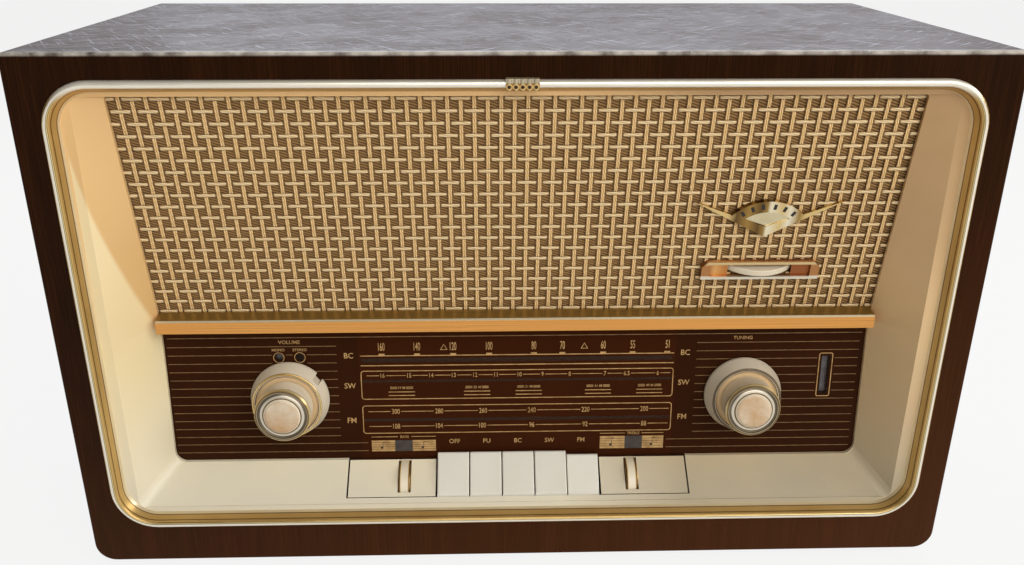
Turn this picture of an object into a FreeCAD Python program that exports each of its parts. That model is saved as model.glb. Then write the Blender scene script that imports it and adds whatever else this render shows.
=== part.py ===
import FreeCAD, Part
import math
import os
import Sketcher

# Stereo table radio: wooden case, moulded front, dial drive, piano keys and loudspeakers.
# X runs to the right, Y to the back and Z up; the origin lies under the middle of the set.
# All lengths are millimetres and all angles degrees.

SIZES = {
    # wooden case and front board
    "case_width": 610, "case_height": 361, "case_depth": 290, "case_wall": 12,
    "board_thickness": 10, "lower_corner": 14, "upper_corner": 3, "inner_corner": 2,
    "front_edge_round": 1.2, "rebate_width": 6, "rebate_depth": 8, "cut_overrun": 5,
    # feet
    "foot_height": 7, "foot_radius": 11, "foot_tip_radius": 9.5, "foot_side_inset": 45,
    "foot_end_inset": 40,
    # gilt ring round the opening and the clasp over its joint
    "ring_side_margin": 19, "ring_head_margin": 16, "ring_lift": 30, "ring_corner": 30,
    "bead_width": 5, "bead_proud": 4, "ring_seat": 4.4, "flange_run": 3.2, "ring_sheet": 1.2,
    "clasp_width": 20, "clasp_offset": 0.5, "clasp_gap": 0.25, "clasp_sheet": 0.8,
    "clasp_bead_radius": 1.7, "clasp_hook": 1.6,
    # moulded escutcheon
    "rim_depth": 5, "mask_wall": 2.5, "mask_gap": 0.4, "mask_lip": 5, "rim_band": 15.4,
    "side_wall_run": 20.1, "window_head_margin": 10.8, "grille_foot": 177, "glass_head": 168,
    "window_bottom": 61.5, "window_corner": 8, "apron_angle": 36, "apron_toe": 0.8,
    "opening_width": 249, "opening_front": 9, "opening_floor": 38,
    # leaning grille: cloth, baffle and the loudspeakers behind it
    "grille_lean": 11.9, "grille_top_depth": 9.5, "cloth_thickness": 2.5, "cloth_margin": 8,
    "cloth_head": 2.4, "cloth_foot_gap": 1, "baffle_thickness": 8, "speaker_flange": 8,
    "speaker_x": 105, "speaker_head_gap": 6, "speaker_foot_gap": 4, "speaker_rim": 3,
    "basket_depth": 38, "basket_neck_radius": 27, "basket_sheet": 1.5, "magnet_radius": 33,
    "magnet_depth": 24, "cone_sheet": 1, "cone_depth": 30, "coil_radius": 14, "cone_gap": 0.4,
    # divider bar
    "bar_end_gap": 0.9, "bar_front_depth": 30, "bar_bottom": 166, "bar_front_height": 8.4,
    "bar_chamfer": 1.1, "bar_top": 177.4, "bar_back_depth": 42, "bar_step": 175, "bar_gap": 0.4,
    # dial glass and what stands close behind it
    "glass_lean": 5, "glass_foot_depth": 35.2, "glass_thickness": 4, "glass_margin": 6.5,
    "glass_tuck": 1.1, "glass_rise": 6, "glass_corner": 6, "glass_hole_radius": 6.3,
    "knob_height": 110.4, "knob_side_margin": 86.5, "backplate_inset": 42, "backplate_foot": -44,
    "backplate_head": 56, "backplate_back": 16, "backplate_sheet": 1,
    # outer rings of the knob pairs
    "ring_knob_radius": 28, "ring_knob_front_radius": 24.6, "ring_knob_base": 1.2,
    "ring_knob_step": 3.2, "ring_knob_height": 14.5, "ring_knob_dish": 2, "ring_knob_wall": 3,
    "ring_knob_web": 3, "ring_knob_hub": 7.5, "ring_knob_round": 0.8, "notch_half": 3,
    "notch_depth": 2.4, "notch_angle": 38,
    # inner knobs and their bright bezels
    "knob_base": 13.3, "knob_base_radius": 18, "knob_radius": 18.8, "knob_shoulder": 29.3,
    "knob_height_front": 33, "knob_cap_radius": 12.8, "knob_wall": 2.4, "knob_hub_radius": 6.5,
    "knob_socket_depth": 11, "knob_cap_round": 1, "bezel_gap": 0.1, "bezel_radius": 19.4,
    "bezel_height": 2.7,
    # shafts, sleeves and controls behind the glass
    "shaft_radius": 3, "running_gap": 0.05, "shaft_end_gap": 0.3, "sleeve_radius": 5.2,
    "sleeve_front": 12, "plate_front": 50.5, "plate_sheet": 1.5, "plate_side_margin": 14.5,
    "plate_head": 34, "plate_key_half_width": 76, "plate_key_head": -44, "plate_floor_gap": 0.3,
    "bush_radius": 5.6, "bush_front": 4, "bush_back": 5, "volume_shaft_back": 72,
    "pot_radius": 14, "pot_depth": 22, "pot_gap": 0.3, "switch_radius": 8.8, "switch_depth": 6,
    "flag_plane": 8, "flag_sheet": 1, "flag_hub_radius": 9, "flag_reach": 40, "flag_half_width": 5,
    "flag_dot_level": 30.9, "mode_window_offset": 6.5,
    # cord drive
    "am_plane": 26, "fm_plane": 40, "spool_radius": 6, "spool_flange": 2.2, "spool_half": 4.5,
    "spool_groove_half": 1, "spool_land": 1.2, "cord_radius": 0.5, "cord_gap": 0.1,
    "drum_radius": 22, "drum_offset": 34, "drum_flange": 1.6, "drum_half": 3, "drum_hub_radius": 7,
    "drum_hub_half": 4, "drum_rim": 5, "drum_web_half": 1, "stud_end": 21.5,
    "flywheel_radius": 22, "flywheel_width": 10, "flywheel_back": 68,
    # pointers and rails
    "rail_level": 12, "rail_radius": 1.5, "rail_inset": 15, "rail_tab_sheet": 1.5,
    "rail_tab_half": 5, "rail_tab_foot": 8.7, "carriage_half": 5, "carriage_half_height": 3.2,
    "carriage_half_depth": 2.6, "pointer_half": 0.7, "arm_half": 2, "arm_sheet": 1.2,
    "pointer_plane": 7, "am_arm_head": 60, "am_pointer_foot": 6, "fm_arm_foot": -48,
    "fm_pointer_head": -8, "fm_arm_set_back": 4, "clip_gap": 0.3, "pointer_rest_inset": 52,
    "pillar_radius": 2.5, "pillar_inset": 4, "pillar_head": 28, "pillar_foot": -42,
    # tuning eye and dial lamps
    "eye_inset": 28, "eye_level": 15, "eye_radius": 9, "eye_length": 62, "eye_gap": 1.5,
    "eye_dome": 5, "eye_base_radius": 10, "eye_base_length": 14, "eye_arm_half": 5, "eye_arm_height": 8,
    "lamp_radius": 4, "lamp_length": 9, "lamp_inset": 10, "lamp_level": 26, "lamp_dome": 2.5,
    # tone panels, wheels and their controls
    "panel_inner": 60.2, "panel_gap": 0.3, "panel_sheet": 1.2, "panel_front_gap": 0.6,
    "slot_length": 24.6, "slot_width": 9.5, "wheel_x": 83, "wheel_radius": 18, "wheel_width": 7.8,
    "wheel_proud": 3.4, "wheel_along": 21, "wheel_edge_round": 0.8, "axle_length": 8,
    "tone_pot_radius": 11, "tone_pot_width": 9, "tone_pot_gap": 0.6, "tone_pot_lug": 6,
    # balance control on the grille
    "balance_offset": 1.5, "balance_rise": 33.4, "balance_radius": 30, "balance_width": 4.4,
    "balance_proud": 7.8, "balance_axle": 11, "balance_pot_height": 10, "balance_slot_half": 29,
    "balance_slot_half_height": 3.4, "surround_half": 40.5, "surround_half_height": 6.8,
    "surround_height": 4, "surround_corner": 4, "surround_rim": 2, "surround_floor": 1.4,
    "surround_slot_half": 22,
    # badge on the grille
    "badge_rise": 53, "badge_half": 49.6, "badge_point": 26.7, "badge_crotch": 19,
    "badge_height": 2.2, "band_outer_radius": 32.4, "band_inner_radius": 24.4, "band_crown": 0.8,
    "band_half_angle": 48, "band_height": 1.4, "fan_height": 1.2,
    # piano keys
    "key_pitch": 23.7, "key_gap": 0.7, "key_front": 9.4, "key_bottom": 43.6, "key_front_top": 46.2,
    "key_back": 33, "key_top": 67.2, "key_lever_top": 55.5, "key_lever_bottom": 46,
    "key_lever_width": 8, "key_pivot_depth": 80, "key_pivot_height": 50, "key_eye_radius": 6,
    "key_press_angle": 3, "key_edge_round": 0.9, "key_land": 2,
    # key frame, rod and springs
    "rod_radius": 2.5, "rod_half_length": 69, "frame_sheet": 1.5, "frame_cheek": 66,
    "frame_front": 52, "frame_back": 92, "frame_cheek_top": 57,
    "spring_depth": 60, "spring_root": 85, "spring_leaf": 0.6, "spring_width": 6,
    "spring_gap": 0.4,
    # chassis and what stands on it
    "chassis_half_width": 185, "chassis_front": 100, "chassis_end_gap": 28, "chassis_height": 48,
    "chassis_sheet": 1.5, "valve_radius": 10.5, "valve_height": 52, "valve_base_radius": 9,
    "valve_base_height": 10, "valve_dome": 6, "valve_row_inset": 62, "valve_pitch": 29, "valve_x": 62,
    "can_radius": 15, "can_height": 62, "can_dome": 2, "can_x": 70, "can_row_inset": 18, "can_pitch": 40,
    "mains_x": -135, "winding_row_inset": 57, "mains_width": 84, "mains_depth": 56, "mains_height": 72,
    "mains_coil": 12, "mains_coil_inset": 12, "output_x": 155, "output_pitch": 47,
    "output_width": 42, "output_depth": 34, "output_height": 44, "output_coil": 6,
    "output_coil_inset": 7, "gang_x": -40, "gang_row_inset": 40, "gang_width": 62, "gang_depth": 48,
    "gang_height": 46, "gang_plate": 2.5, "gang_shaft_radius": 4, "gang_shaft_length": 14,
    # side loudspeakers and grilles
    "side_port_length": 110, "side_port_height": 76, "side_port_corner": 14, "side_depth": 150,
    "side_drop": 111, "side_frame_thickness": 4, "side_slat_width": 4,
    "side_slat_pitch": 11, "side_frame_gap": 0.3, "side_speaker_radius": 52, "side_speaker_rim": 3,
    "side_speaker_depth": 34, "side_neck_radius": 20, "side_magnet_depth": 14,
    # back cover and its screws
    "cover_gap": 0.5, "cover_sheet": 4, "vent_length": 46, "vent_height": 4.5, "vent_pitch_x": 60,
    "vent_pitch_z": 13, "vent_level": 200, "screw_radius": 2, "screw_gap": 0.2,
    "screw_head_radius": 4.5, "screw_head_height": 2.2, "screw_head_round": 1, "screw_length": 16,
    "cleat_side": 25, "cleat_depth": 20,
}
CLASP_BEADS = 5
VALVES = 5
VENT_COLUMNS = 8
VENT_ROWS = 9
KEY_NAMES = ("key_off", "key_phono", "key_medium", "key_short", "key_fm")
PRESSED_KEY = "key_fm"
SAME_PLACE_SHARE = 1e-5

doc = FreeCAD.newDocument("stereo_radio")
sheet = doc.addObject("Spreadsheet::Sheet", "sizes")
for row, (alias, number) in enumerate(SIZES.items(), start=1):
    sheet.set(f"A{row}", alias)
    sheet.set(f"B{row}", str(number))
    sheet.setAlias(f"B{row}", alias)
doc.recompute()


class Size:
    """A number together with the sheet formula that gives it."""

    def __init__(self, number, formula):
        self.number = float(number)
        self.formula = formula

    def __add__(self, other):
        other = as_size(other)
        return Size(self.number + other.number, f"({self.formula} + {other.formula})")

    def __sub__(self, other):
        other = as_size(other)
        return Size(self.number - other.number, f"({self.formula} - {other.formula})")

    def __mul__(self, other):
        other = as_size(other)
        return Size(self.number * other.number, f"({self.formula} * {other.formula})")

    def __truediv__(self, other):
        other = as_size(other)
        return Size(self.number / other.number, f"({self.formula} / {other.formula})")

    def __neg__(self):
        return Size(-self.number, f"(0 - {self.formula})")

    def __rsub__(self, other):
        return as_size(other) - self

    __radd__ = __add__
    __rmul__ = __mul__


class SheetSizes:
    """Gives each named cell of the sheet as a Size."""

    def __getattr__(self, alias):
        return Size(sheet.get(alias), f"sizes.{alias}")


def as_size(value):
    """Turn a plain count or zero into a Size."""
    if isinstance(value, Size):
        return value
    return Size(value, repr(value))


def tangent(angle):
    return Size(math.tan(math.radians(angle.number)), f"tan({angle.formula})")


def sine(angle):
    return Size(math.sin(math.radians(angle.number)), f"sin({angle.formula})")


def cosine(angle):
    return Size(math.cos(math.radians(angle.number)), f"cos({angle.formula})")


d = SheetSizes()

# Heights are measured from the underside of the case, depths from its wooden front.
front_proud = d.bead_proud + d.clasp_gap + d.clasp_sheet + d.clasp_bead_radius / 2
front_y = (front_proud - d.case_depth) / 2
case_half = d.case_width / 2
ring_half = case_half - d.ring_side_margin
ring_top = d.case_height - d.ring_head_margin
window_half = ring_half - d.rim_band - d.side_wall_run
window_top = ring_top - d.window_head_margin
floor_height = d.case_wall
chassis_top = floor_height + d.chassis_height


def cloth_depth(height):
    """Depth of the cloth's face at a height."""
    return d.grille_top_depth + (window_top - height) * tangent(d.grille_lean)


def glass_depth(height):
    """Depth of the dial glass's face at a height."""
    return d.glass_foot_depth + (height - d.window_bottom) * tangent(d.glass_lean)


grille_length = (window_top - d.grille_foot) / cosine(d.grille_lean)
balance_drop = grille_length - d.balance_rise
badge_drop = balance_drop - d.badge_rise
speaker_radius = (balance_drop - d.speaker_head_gap - d.speaker_foot_gap) / 2
speaker_drop = d.speaker_head_gap + speaker_radius
cone_hole_radius = speaker_radius - d.speaker_flange
knob_x = window_half - d.knob_side_margin
balance_x = knob_x + d.balance_offset
backplate_half = knob_x - d.backplate_inset
pointer_rest_x = backplate_half - d.pointer_rest_inset
rail_half = knob_x - d.rail_inset
drum_x = d.drum_offset - knob_x
chassis_back = d.case_depth - d.chassis_end_gap
winding_row = chassis_back - d.winding_row_inset
side_level = d.case_height - d.side_drop
apron_back = d.glass_foot_depth - d.mask_wall
apron_foot = d.window_bottom - (apron_back - d.rim_depth) * tangent(d.apron_angle)


def leaning_frame(depth, height, turn):
    """Frame on a leaning face: X right, Y up along the face, Z out towards the listener."""
    base = FreeCAD.Vector(0, (front_y + depth).number, (d.foot_height + height).number)
    return FreeCAD.Placement(base, FreeCAD.Rotation(FreeCAD.Vector(1, 0, 0), turn))


ROOM = leaning_frame(as_size(0), as_size(0), 0)
DIAL = leaning_frame(glass_depth(d.knob_height), d.knob_height, 90 - d.glass_lean.number)
GRILLE = leaning_frame(d.grille_top_depth, window_top, 90 + d.grille_lean.number)
APRON = leaning_frame(d.rim_depth, apron_foot, d.apron_angle.number)
ALONG_X = FreeCAD.Rotation(FreeCAD.Vector(0, 1, 0), 90)
ALONG_MINUS_X = FreeCAD.Rotation(FreeCAD.Vector(0, 1, 0), -90)
ALONG_Y = FreeCAD.Rotation(FreeCAD.Vector(1, 0, 0), -90)
ALONG_MINUS_Y = FreeCAD.Rotation(FreeCAD.Vector(1, 0, 0), 90)
parts = {}


# Sketching and feature helpers

def bind(thing, name, value):
    """Bind a property to the sheet."""
    thing.setExpression(name, as_size(value).formula)


def place(thing, frame, at=(0, 0, 0), rotation=None):
    """Put an object at a point of a frame."""
    base = FreeCAD.Vector(*(as_size(value).number for value in at))
    thing.Placement = frame.multiply(FreeCAD.Placement(base, rotation or FreeCAD.Rotation()))
    return thing


def keep(name, thing):
    """Name a finished sub-part."""
    thing.Label = name
    parts[name] = thing
    return thing


def new_body(name):
    return doc.addObject("PartDesign::Body", name + "_body")


def sketch_on(body, role="XY_Plane", lift=0):
    """New sketch on one of the body's own planes, lifted along its normal."""
    plane = next(item for item in body.Origin.OriginFeatures if item.Role == role)
    sketch = body.newObject("Sketcher::SketchObject", "sketch")
    sketch.AttachmentSupport = [(plane, "")]
    sketch.MapMode = "FlatFace"
    bind(sketch, "AttachmentOffset.Base.z", lift)
    return sketch


def flat(x, y):
    return FreeCAD.Vector(as_size(x).number, as_size(y).number, 0)


def add_rules(sketch, rules):
    """Add constraints in one step, each with the size that drives it or None."""
    first = sketch.ConstraintCount
    sketch.addConstraint([rule for rule, value in rules])
    for step, (rule, value) in enumerate(rules):
        if value is not None:
            sketch.setExpression(f"Constraints[{first + step}]", value.formula)


def held(geometry, point, x, y):
    """Rules that tie a point of a sketch to its place."""
    x, y = as_size(x), as_size(y)
    return [(Sketcher.Constraint("DistanceX", -1, 1, geometry, point, x.number), x),
            (Sketcher.Constraint("DistanceY", -1, 1, geometry, point, y.number), y)]


def meeting(kind, geometry, point, other, other_point):
    """Rule that joins the ends of two pieces of a sketch."""
    return (Sketcher.Constraint(kind, geometry, point, other, other_point), None)


def polygon(sketch, points):
    """Closed outline of straight lines."""
    first = sketch.GeometryCount
    corners = [flat(*point) for point in points]
    following = corners[1:] + corners[:1]
    sketch.addGeometry([Part.LineSegment(start, end) for start, end in zip(corners, following)])
    rules = []
    for step, point in enumerate(points):
        rules.append(meeting("Coincident", first + step, 2, first + (step + 1) % len(points), 1))
        rules += held(first + step, 1, *point)
    add_rules(sketch, rules)


def rectangle(sketch, left, right, bottom, top):
    polygon(sketch, [(left, bottom), (right, bottom), (right, top), (left, top)])


def circle(sketch, x, y, radius):
    """Circle at a place."""
    geometry = sketch.addGeometry(Part.Circle(flat(x, y), FreeCAD.Vector(0, 0, 1), radius.number))
    rules = held(geometry, 3, x, y)
    rules.append((Sketcher.Constraint("Radius", geometry, radius.number), radius))
    add_rules(sketch, rules)


def rounded(sketch, left, right, bottom, top, lower, upper):
    """Rectangle whose lower and upper corners have their own radii, begun in mid foot."""
    corners = [(right - lower, bottom + lower, lower, 270), (right - upper, top - upper, upper, 0),
               (left + upper, top - upper, upper, 90), (left + lower, bottom + lower, lower, 180)]
    middle = (left + right) / 2
    first = sketch.GeometryCount
    pieces, rules = [], []
    pen = flat(middle, bottom)
    for x, y, radius, turn in corners:
        line, arc = first + len(pieces), first + len(pieces) + 1
        ring = Part.Circle(flat(x, y), FreeCAD.Vector(0, 0, 1), radius.number)
        curve = Part.ArcOfCircle(ring, math.radians(turn), math.radians(turn + 90))
        pieces += [Part.LineSegment(pen, curve.StartPoint), curve]
        pen = curve.EndPoint
        rules += [meeting("Tangent", line, 2, arc, 1), meeting("Tangent", arc, 2, arc + 1, 1)]
        rules += held(arc, 3, x, y)
        rules.append((Sketcher.Constraint("Radius", arc, radius.number), radius))
    last = first + len(pieces)
    pieces.append(Part.LineSegment(pen, flat(middle, bottom)))
    rules.append(meeting("Coincident", last, 2, first, 1))
    rules.append((Sketcher.Constraint("DistanceX", -1, 1, first, 1, middle.number), middle))
    sketch.addGeometry(pieces)
    add_rules(sketch, rules)


def pad(body, sketch, length):
    feature = body.newObject("PartDesign::Pad", "pad")
    feature.Profile = sketch
    bind(feature, "Length", length)
    return feature


def pocket(body, sketch, length, onward=False):
    """Cut against the sketch's normal, or along it."""
    doc.recompute()
    before = body.Shape.Volume
    feature = body.newObject("PartDesign::Pocket", "pocket")
    feature.Profile = sketch
    feature.Reversed = onward
    bind(feature, "Length", length)
    doc.recompute()
    if not body.Shape.Volume < before:
        raise ValueError(f"{body.Label}: a pocket cuts nothing")
    return feature


def soften(body, radius, chosen):
    """Round the chosen edges of a body."""
    doc.recompute()
    tip = body.Tip
    edges = [f"Edge{n}" for n, edge in enumerate(tip.Shape.Edges, start=1) if chosen(edge.BoundBox)]
    feature = body.newObject("PartDesign::Fillet", "fillet")
    feature.Base = (tip, edges)
    bind(feature, "Radius", radius)
    return feature


def repeated(body, feature, sketch, columns, across, rows, up):
    """Repeat a feature in columns and rows along its sketch's axes."""
    group = body.newObject("PartDesign::MultiTransform", "array")
    group.Originals = [feature]
    lines = []
    for axis, count, pitch in (("H_Axis", columns, across), ("V_Axis", rows, up)):
        line = body.newObject("PartDesign::LinearPattern", "line")
        line.Direction = (sketch, [axis])
        line.Occurrences = count
        bind(line, "Length", pitch * (count - 1))
        lines.append(line)
    group.Transformations = lines
    body.Tip = group


def near(value, size):
    """True where a measured place is the one that a size gives."""
    return abs(value - size.number) < SAME_PLACE_SHARE * d.case_width.number


def turned(name, points, frame, at=(0, 0, 0), rotation=None):
    """Solid of revolution about its own Z axis from (radius, height) points."""
    body = new_body(name)
    sketch = sketch_on(body, "XZ_Plane")
    polygon(sketch, points)
    feature = body.newObject("PartDesign::Revolution", "turning")
    feature.Profile = sketch
    feature.ReferenceAxis = (sketch, ["V_Axis"])
    feature.Angle = 360
    return place(body, frame, at, rotation)


def round_rim(body, radius, *heights):
    """Round the circular edges of a turned body that lie at the heights, outermost only."""
    doc.recompute()
    boxes = [edge.BoundBox for edge in body.Tip.Shape.Edges]

    def outermost(box):
        for height in heights:
            level = [other.XMax for other in boxes if flat_at(other, height)]
            if flat_at(box, height) and box.XMax > max(level) - SAME_PLACE_SHARE * max(level):
                return True
        return False

    return soften(body, radius, outermost)


def flat_at(box, height):
    """True where an edge's box lies in the plane at a height."""
    return near(box.ZMin, height) and near(box.ZMax, height)


def gathered(name, pieces):
    """Identical or paired pieces that share a name."""
    group = doc.addObject("Part::Compound", name + "_group")
    group.Links = pieces
    return keep(name, group)


# Cabinet

def cabinet_case():
    body = new_body("cabinet_case")
    inner_half = case_half - d.case_wall
    inner_top = d.case_height - d.case_wall
    sketch = sketch_on(body, "XZ_Plane", -d.case_depth)
    rounded(sketch, -case_half, case_half, as_size(0), d.case_height, d.lower_corner, d.upper_corner)
    rounded(sketch, -inner_half, inner_half, d.case_wall, inner_top, d.inner_corner, d.inner_corner)
    pad(body, sketch, d.case_depth - d.board_thickness)
    rebate = sketch_on(body, "XZ_Plane", -d.case_depth)
    wide = inner_half + d.rebate_width
    rounded(rebate, -wide, wide, d.case_wall - d.rebate_width, inner_top + d.rebate_width,
            d.inner_corner, d.inner_corner)
    pocket(body, rebate, d.rebate_depth, onward=True)
    port = sketch_on(body, "YZ_Plane", case_half + d.cut_overrun)
    side_outline(port, d.side_depth, side_level, as_size(0))
    pocket(body, port, d.case_width + 2 * d.cut_overrun)
    cleats = sketch_on(body, "XZ_Plane", d.rebate_depth - d.case_depth)
    half, rooted = d.cleat_side / 2, d.cleat_side / 2 + d.rebate_width / 2
    for x, height in screw_places():
        right = rooted if x.number > 0 else half
        left = half if x.number > 0 else rooted
        above = rooted if height.number > case_half.number / 2 else half
        below = half if height.number > case_half.number / 2 else rooted
        rectangle(cleats, x - left, x + right, height - below, height + above)
        circle(cleats, x, height, d.screw_radius + d.screw_gap)
    pad(body, cleats, d.cleat_depth)
    keep("cabinet_case", place(body, ROOM))


def side_outline(sketch, x, y, grown):
    """Outline of a side port, grown or shrunk all round."""
    half, tall = d.side_port_length / 2 + grown, d.side_port_height / 2 + grown
    corner = d.side_port_corner + grown
    rounded(sketch, x - half, x + half, y - tall, y + tall, corner, corner)


def inset_ring(sketch, inset):
    """Outline of the ring's outer edge, drawn in all round."""
    corner = d.ring_corner - inset
    rounded(sketch, inset - ring_half, ring_half - inset, d.ring_lift + inset, ring_top - inset,
            corner, corner)


def front_board():
    body = new_body("front_board")
    sketch = sketch_on(body, "XZ_Plane", -d.board_thickness)
    rounded(sketch, -case_half, case_half, as_size(0), d.case_height, d.lower_corner, d.upper_corner)
    inset_ring(sketch, d.ring_seat - d.mask_gap)
    pad(body, sketch, d.board_thickness)

    def outer_front(box):
        at_front = near(box.YMin, as_size(0)) and near(box.YMax, as_size(0))
        inside = (box.XMin > -ring_half.number and box.XMax < ring_half.number
                  and box.ZMin > d.ring_lift.number and box.ZMax < ring_top.number)
        return at_front and not inside

    soften(body, d.front_edge_round, outer_front)
    keep("front_board", place(body, ROOM))


def feet():
    pieces = []
    across = case_half - d.foot_side_inset
    points = [(0, -d.foot_height), (d.foot_tip_radius, -d.foot_height), (d.foot_radius, 0), (0, 0)]
    for x in (-across, across):
        for depth in (d.foot_end_inset, d.case_depth - d.foot_end_inset):
            pieces.append(turned("foot", points, ROOM, (x, depth, 0)))
    gathered("feet", pieces)


def back_cover():
    body = new_body("back_cover")
    reach = d.rebate_width - d.cover_gap
    half = case_half - d.case_wall + reach
    bottom, top = d.case_wall - reach, d.case_height - d.case_wall + reach
    inner = d.case_depth - d.rebate_depth
    sketch = sketch_on(body, "XZ_Plane", -(inner + d.cover_sheet))
    rounded(sketch, -half, half, bottom, top, d.inner_corner, d.inner_corner)
    for x, height in screw_places():
        circle(sketch, x, height, d.screw_radius + d.screw_gap)
    pad(body, sketch, d.cover_sheet)
    vents = sketch_on(body, "XZ_Plane", -(inner + d.cover_sheet + d.cut_overrun))
    left = d.vent_pitch_x * (1 - VENT_COLUMNS) / 2
    low = d.vent_level + d.vent_pitch_z * (1 - VENT_ROWS) / 2
    rectangle(vents, left - d.vent_length / 2, left + d.vent_length / 2, low - d.vent_height / 2,
              low + d.vent_height / 2)
    first = pocket(body, vents, d.cover_sheet + 2 * d.cut_overrun, onward=True)
    repeated(body, first, vents, VENT_COLUMNS, d.vent_pitch_x, VENT_ROWS, d.vent_pitch_z)
    keep("back_cover", place(body, ROOM))


def screw_places():
    """Middles of the corner cleats that take the cover's screws."""
    half = case_half - d.case_wall - d.cleat_side / 2
    low = d.case_wall + d.cleat_side / 2
    high = d.case_height - low
    return [(-half, low), (half, low), (half, high), (-half, high)]


def back_cover_screws():
    face = d.case_depth - d.rebate_depth + d.cover_sheet
    points = [(0, -d.screw_length), (d.screw_radius, -d.screw_length), (d.screw_radius, 0),
              (d.screw_head_radius, 0), (d.screw_head_radius, d.screw_head_height),
              (0, d.screw_head_height)]
    pieces = []
    for x, height in screw_places():
        screw = turned("screw", points, ROOM, (x, face, height), ALONG_Y)
        round_rim(screw, d.screw_head_round, d.screw_head_height)
        pieces.append(screw)
    gathered("back_cover_screws", pieces)


def side_grilles():
    """Slatted inserts that lie flush in the ports of the case's sides."""
    pieces = []
    thick, gap, slat = d.side_frame_thickness, d.side_frame_gap, d.side_slat_width
    half, tall = d.side_port_length / 2 - gap, d.side_port_height / 2
    slats = int(SIZES["side_port_height"] / SIZES["side_slat_pitch"])
    for sign in (-1, 1):
        body = new_body("side_grille")
        rim = sketch_on(body, lift=-thick)
        side_outline(rim, as_size(0), as_size(0), -gap)
        side_outline(rim, as_size(0), as_size(0), -gap - slat)
        pad(body, rim, thick)
        bars = sketch_on(body, lift=-thick)
        for line in range(1, slats):
            y = d.side_slat_pitch * line - tall
            rectangle(bars, slat / 2 - half, half - slat / 2, y - slat / 2, y + slat / 2)
        pad(body, bars, thick / 2)
        facing = FreeCAD.Rotation(FreeCAD.Vector(0, 0, 1), 90 * sign)
        facing = facing.multiply(FreeCAD.Rotation(FreeCAD.Vector(1, 0, 0), 90))
        pieces.append(place(body, ROOM, (case_half * sign, d.side_depth, side_level), facing))
    gathered("side_grilles", pieces)


def side_speakers():
    rim, depth, neck = d.side_speaker_rim, d.side_speaker_depth, d.side_neck_radius
    edge = d.side_speaker_radius - 2 * rim
    back = depth + d.side_magnet_depth
    points = [(0, depth / 2), (neck / 2, depth / 2), (edge, rim / 2), (edge, 0),
              (d.side_speaker_radius, 0), (d.side_speaker_radius, rim), (neck + rim, depth),
              (neck + rim, back), (0, back)]
    inner = case_half - d.case_wall
    left = turned("side_speaker", points, ROOM, (-inner, d.side_depth, side_level), ALONG_X)
    right = turned("side_speaker", points, ROOM, (inner, d.side_depth, side_level), ALONG_MINUS_X)
    gathered("side_speakers", [left, right])


# Gilt ring, clasp and moulded escutcheon

def trim_ring():
    """Half-round bead on the wood with a flange that slopes down to the escutcheon's rim."""
    body = new_body("trim_ring")
    spine = sketch_on(body, "XZ_Plane")
    inset_ring(spine, as_size(0))
    profile = sketch_on(body, "YZ_Plane")
    lift, round_half = d.ring_lift, d.bead_width / 2
    springing = round_half - d.bead_proud
    inner = lift + d.bead_width + d.flange_run
    points = [(springing, lift + d.bead_width), (d.rim_depth, inner),
              (d.rim_depth, inner - d.ring_sheet), (0, lift + d.ring_seat), (0, lift),
              (springing, lift)]
    pieces = [Part.LineSegment(flat(*start), flat(*end)) for start, end in zip(points, points[1:])]
    crown = Part.Circle(flat(springing, lift + round_half), FreeCAD.Vector(0, 0, 1), round_half.number)
    arc = len(pieces)
    pieces.append(Part.ArcOfCircle(crown, math.radians(90), math.radians(270)))
    profile.addGeometry(pieces)
    rules = held(arc - 1, 2, *points[-1])
    for line in range(arc):
        rules += held(line, 1, *points[line])
        if line:
            rules.append(meeting("Coincident", line - 1, 2, line, 1))
    rules += [meeting("Coincident", arc, 1, 0, 1), meeting("Coincident", arc, 2, arc - 1, 2)]
    rules.append((Sketcher.Constraint("DistanceX", -1, 1, arc, 3, springing.number), springing))
    add_rules(profile, rules)
    pipe = body.newObject("PartDesign::AdditivePipe", "pipe")
    pipe.Profile = profile
    pipe.Spine = (spine, [f"Edge{n + 1}" for n in range(spine.GeometryCount)])
    keep("trim_ring", place(body, ROOM))


def trim_clasp():
    """Bent cover over the ring's joint, with a row of beads pressed into it."""
    body = new_body("trim_clasp")
    gap, sheet = d.clasp_gap, d.clasp_sheet
    start = d.clasp_offset - d.clasp_width / 2
    inside = -(d.bead_proud + gap)
    outside = inside - sheet
    head, foot = ring_top + gap, ring_top - d.bead_width - gap
    hook = outside + sheet + d.clasp_hook
    sketch = sketch_on(body, "YZ_Plane", start)
    polygon(sketch, [(-gap, head), (inside, head), (inside, foot), (hook, foot), (hook, foot - sheet),
                     (outside, foot - sheet), (outside, head + sheet), (-gap, head + sheet)])
    pad(body, sketch, d.clasp_width)
    beads = sketch_on(body, "XY_Plane", foot - sheet)
    pitch = d.clasp_width / CLASP_BEADS
    for bead in range(CLASP_BEADS):
        circle(beads, start + pitch * (bead + 0.5), outside + d.clasp_bead_radius / 2, d.clasp_bead_radius)
    pad(body, beads, head - foot + 2 * sheet)
    inner = sketch_on(body, "YZ_Plane", start + d.clasp_width + d.cut_overrun)
    polygon(inner, [(inside, foot), (d.bead_proud, foot), (d.bead_proud, head), (inside, head)])
    pocket(body, inner, d.clasp_width + 2 * d.cut_overrun)
    keep("trim_clasp", place(body, ROOM))


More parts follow.
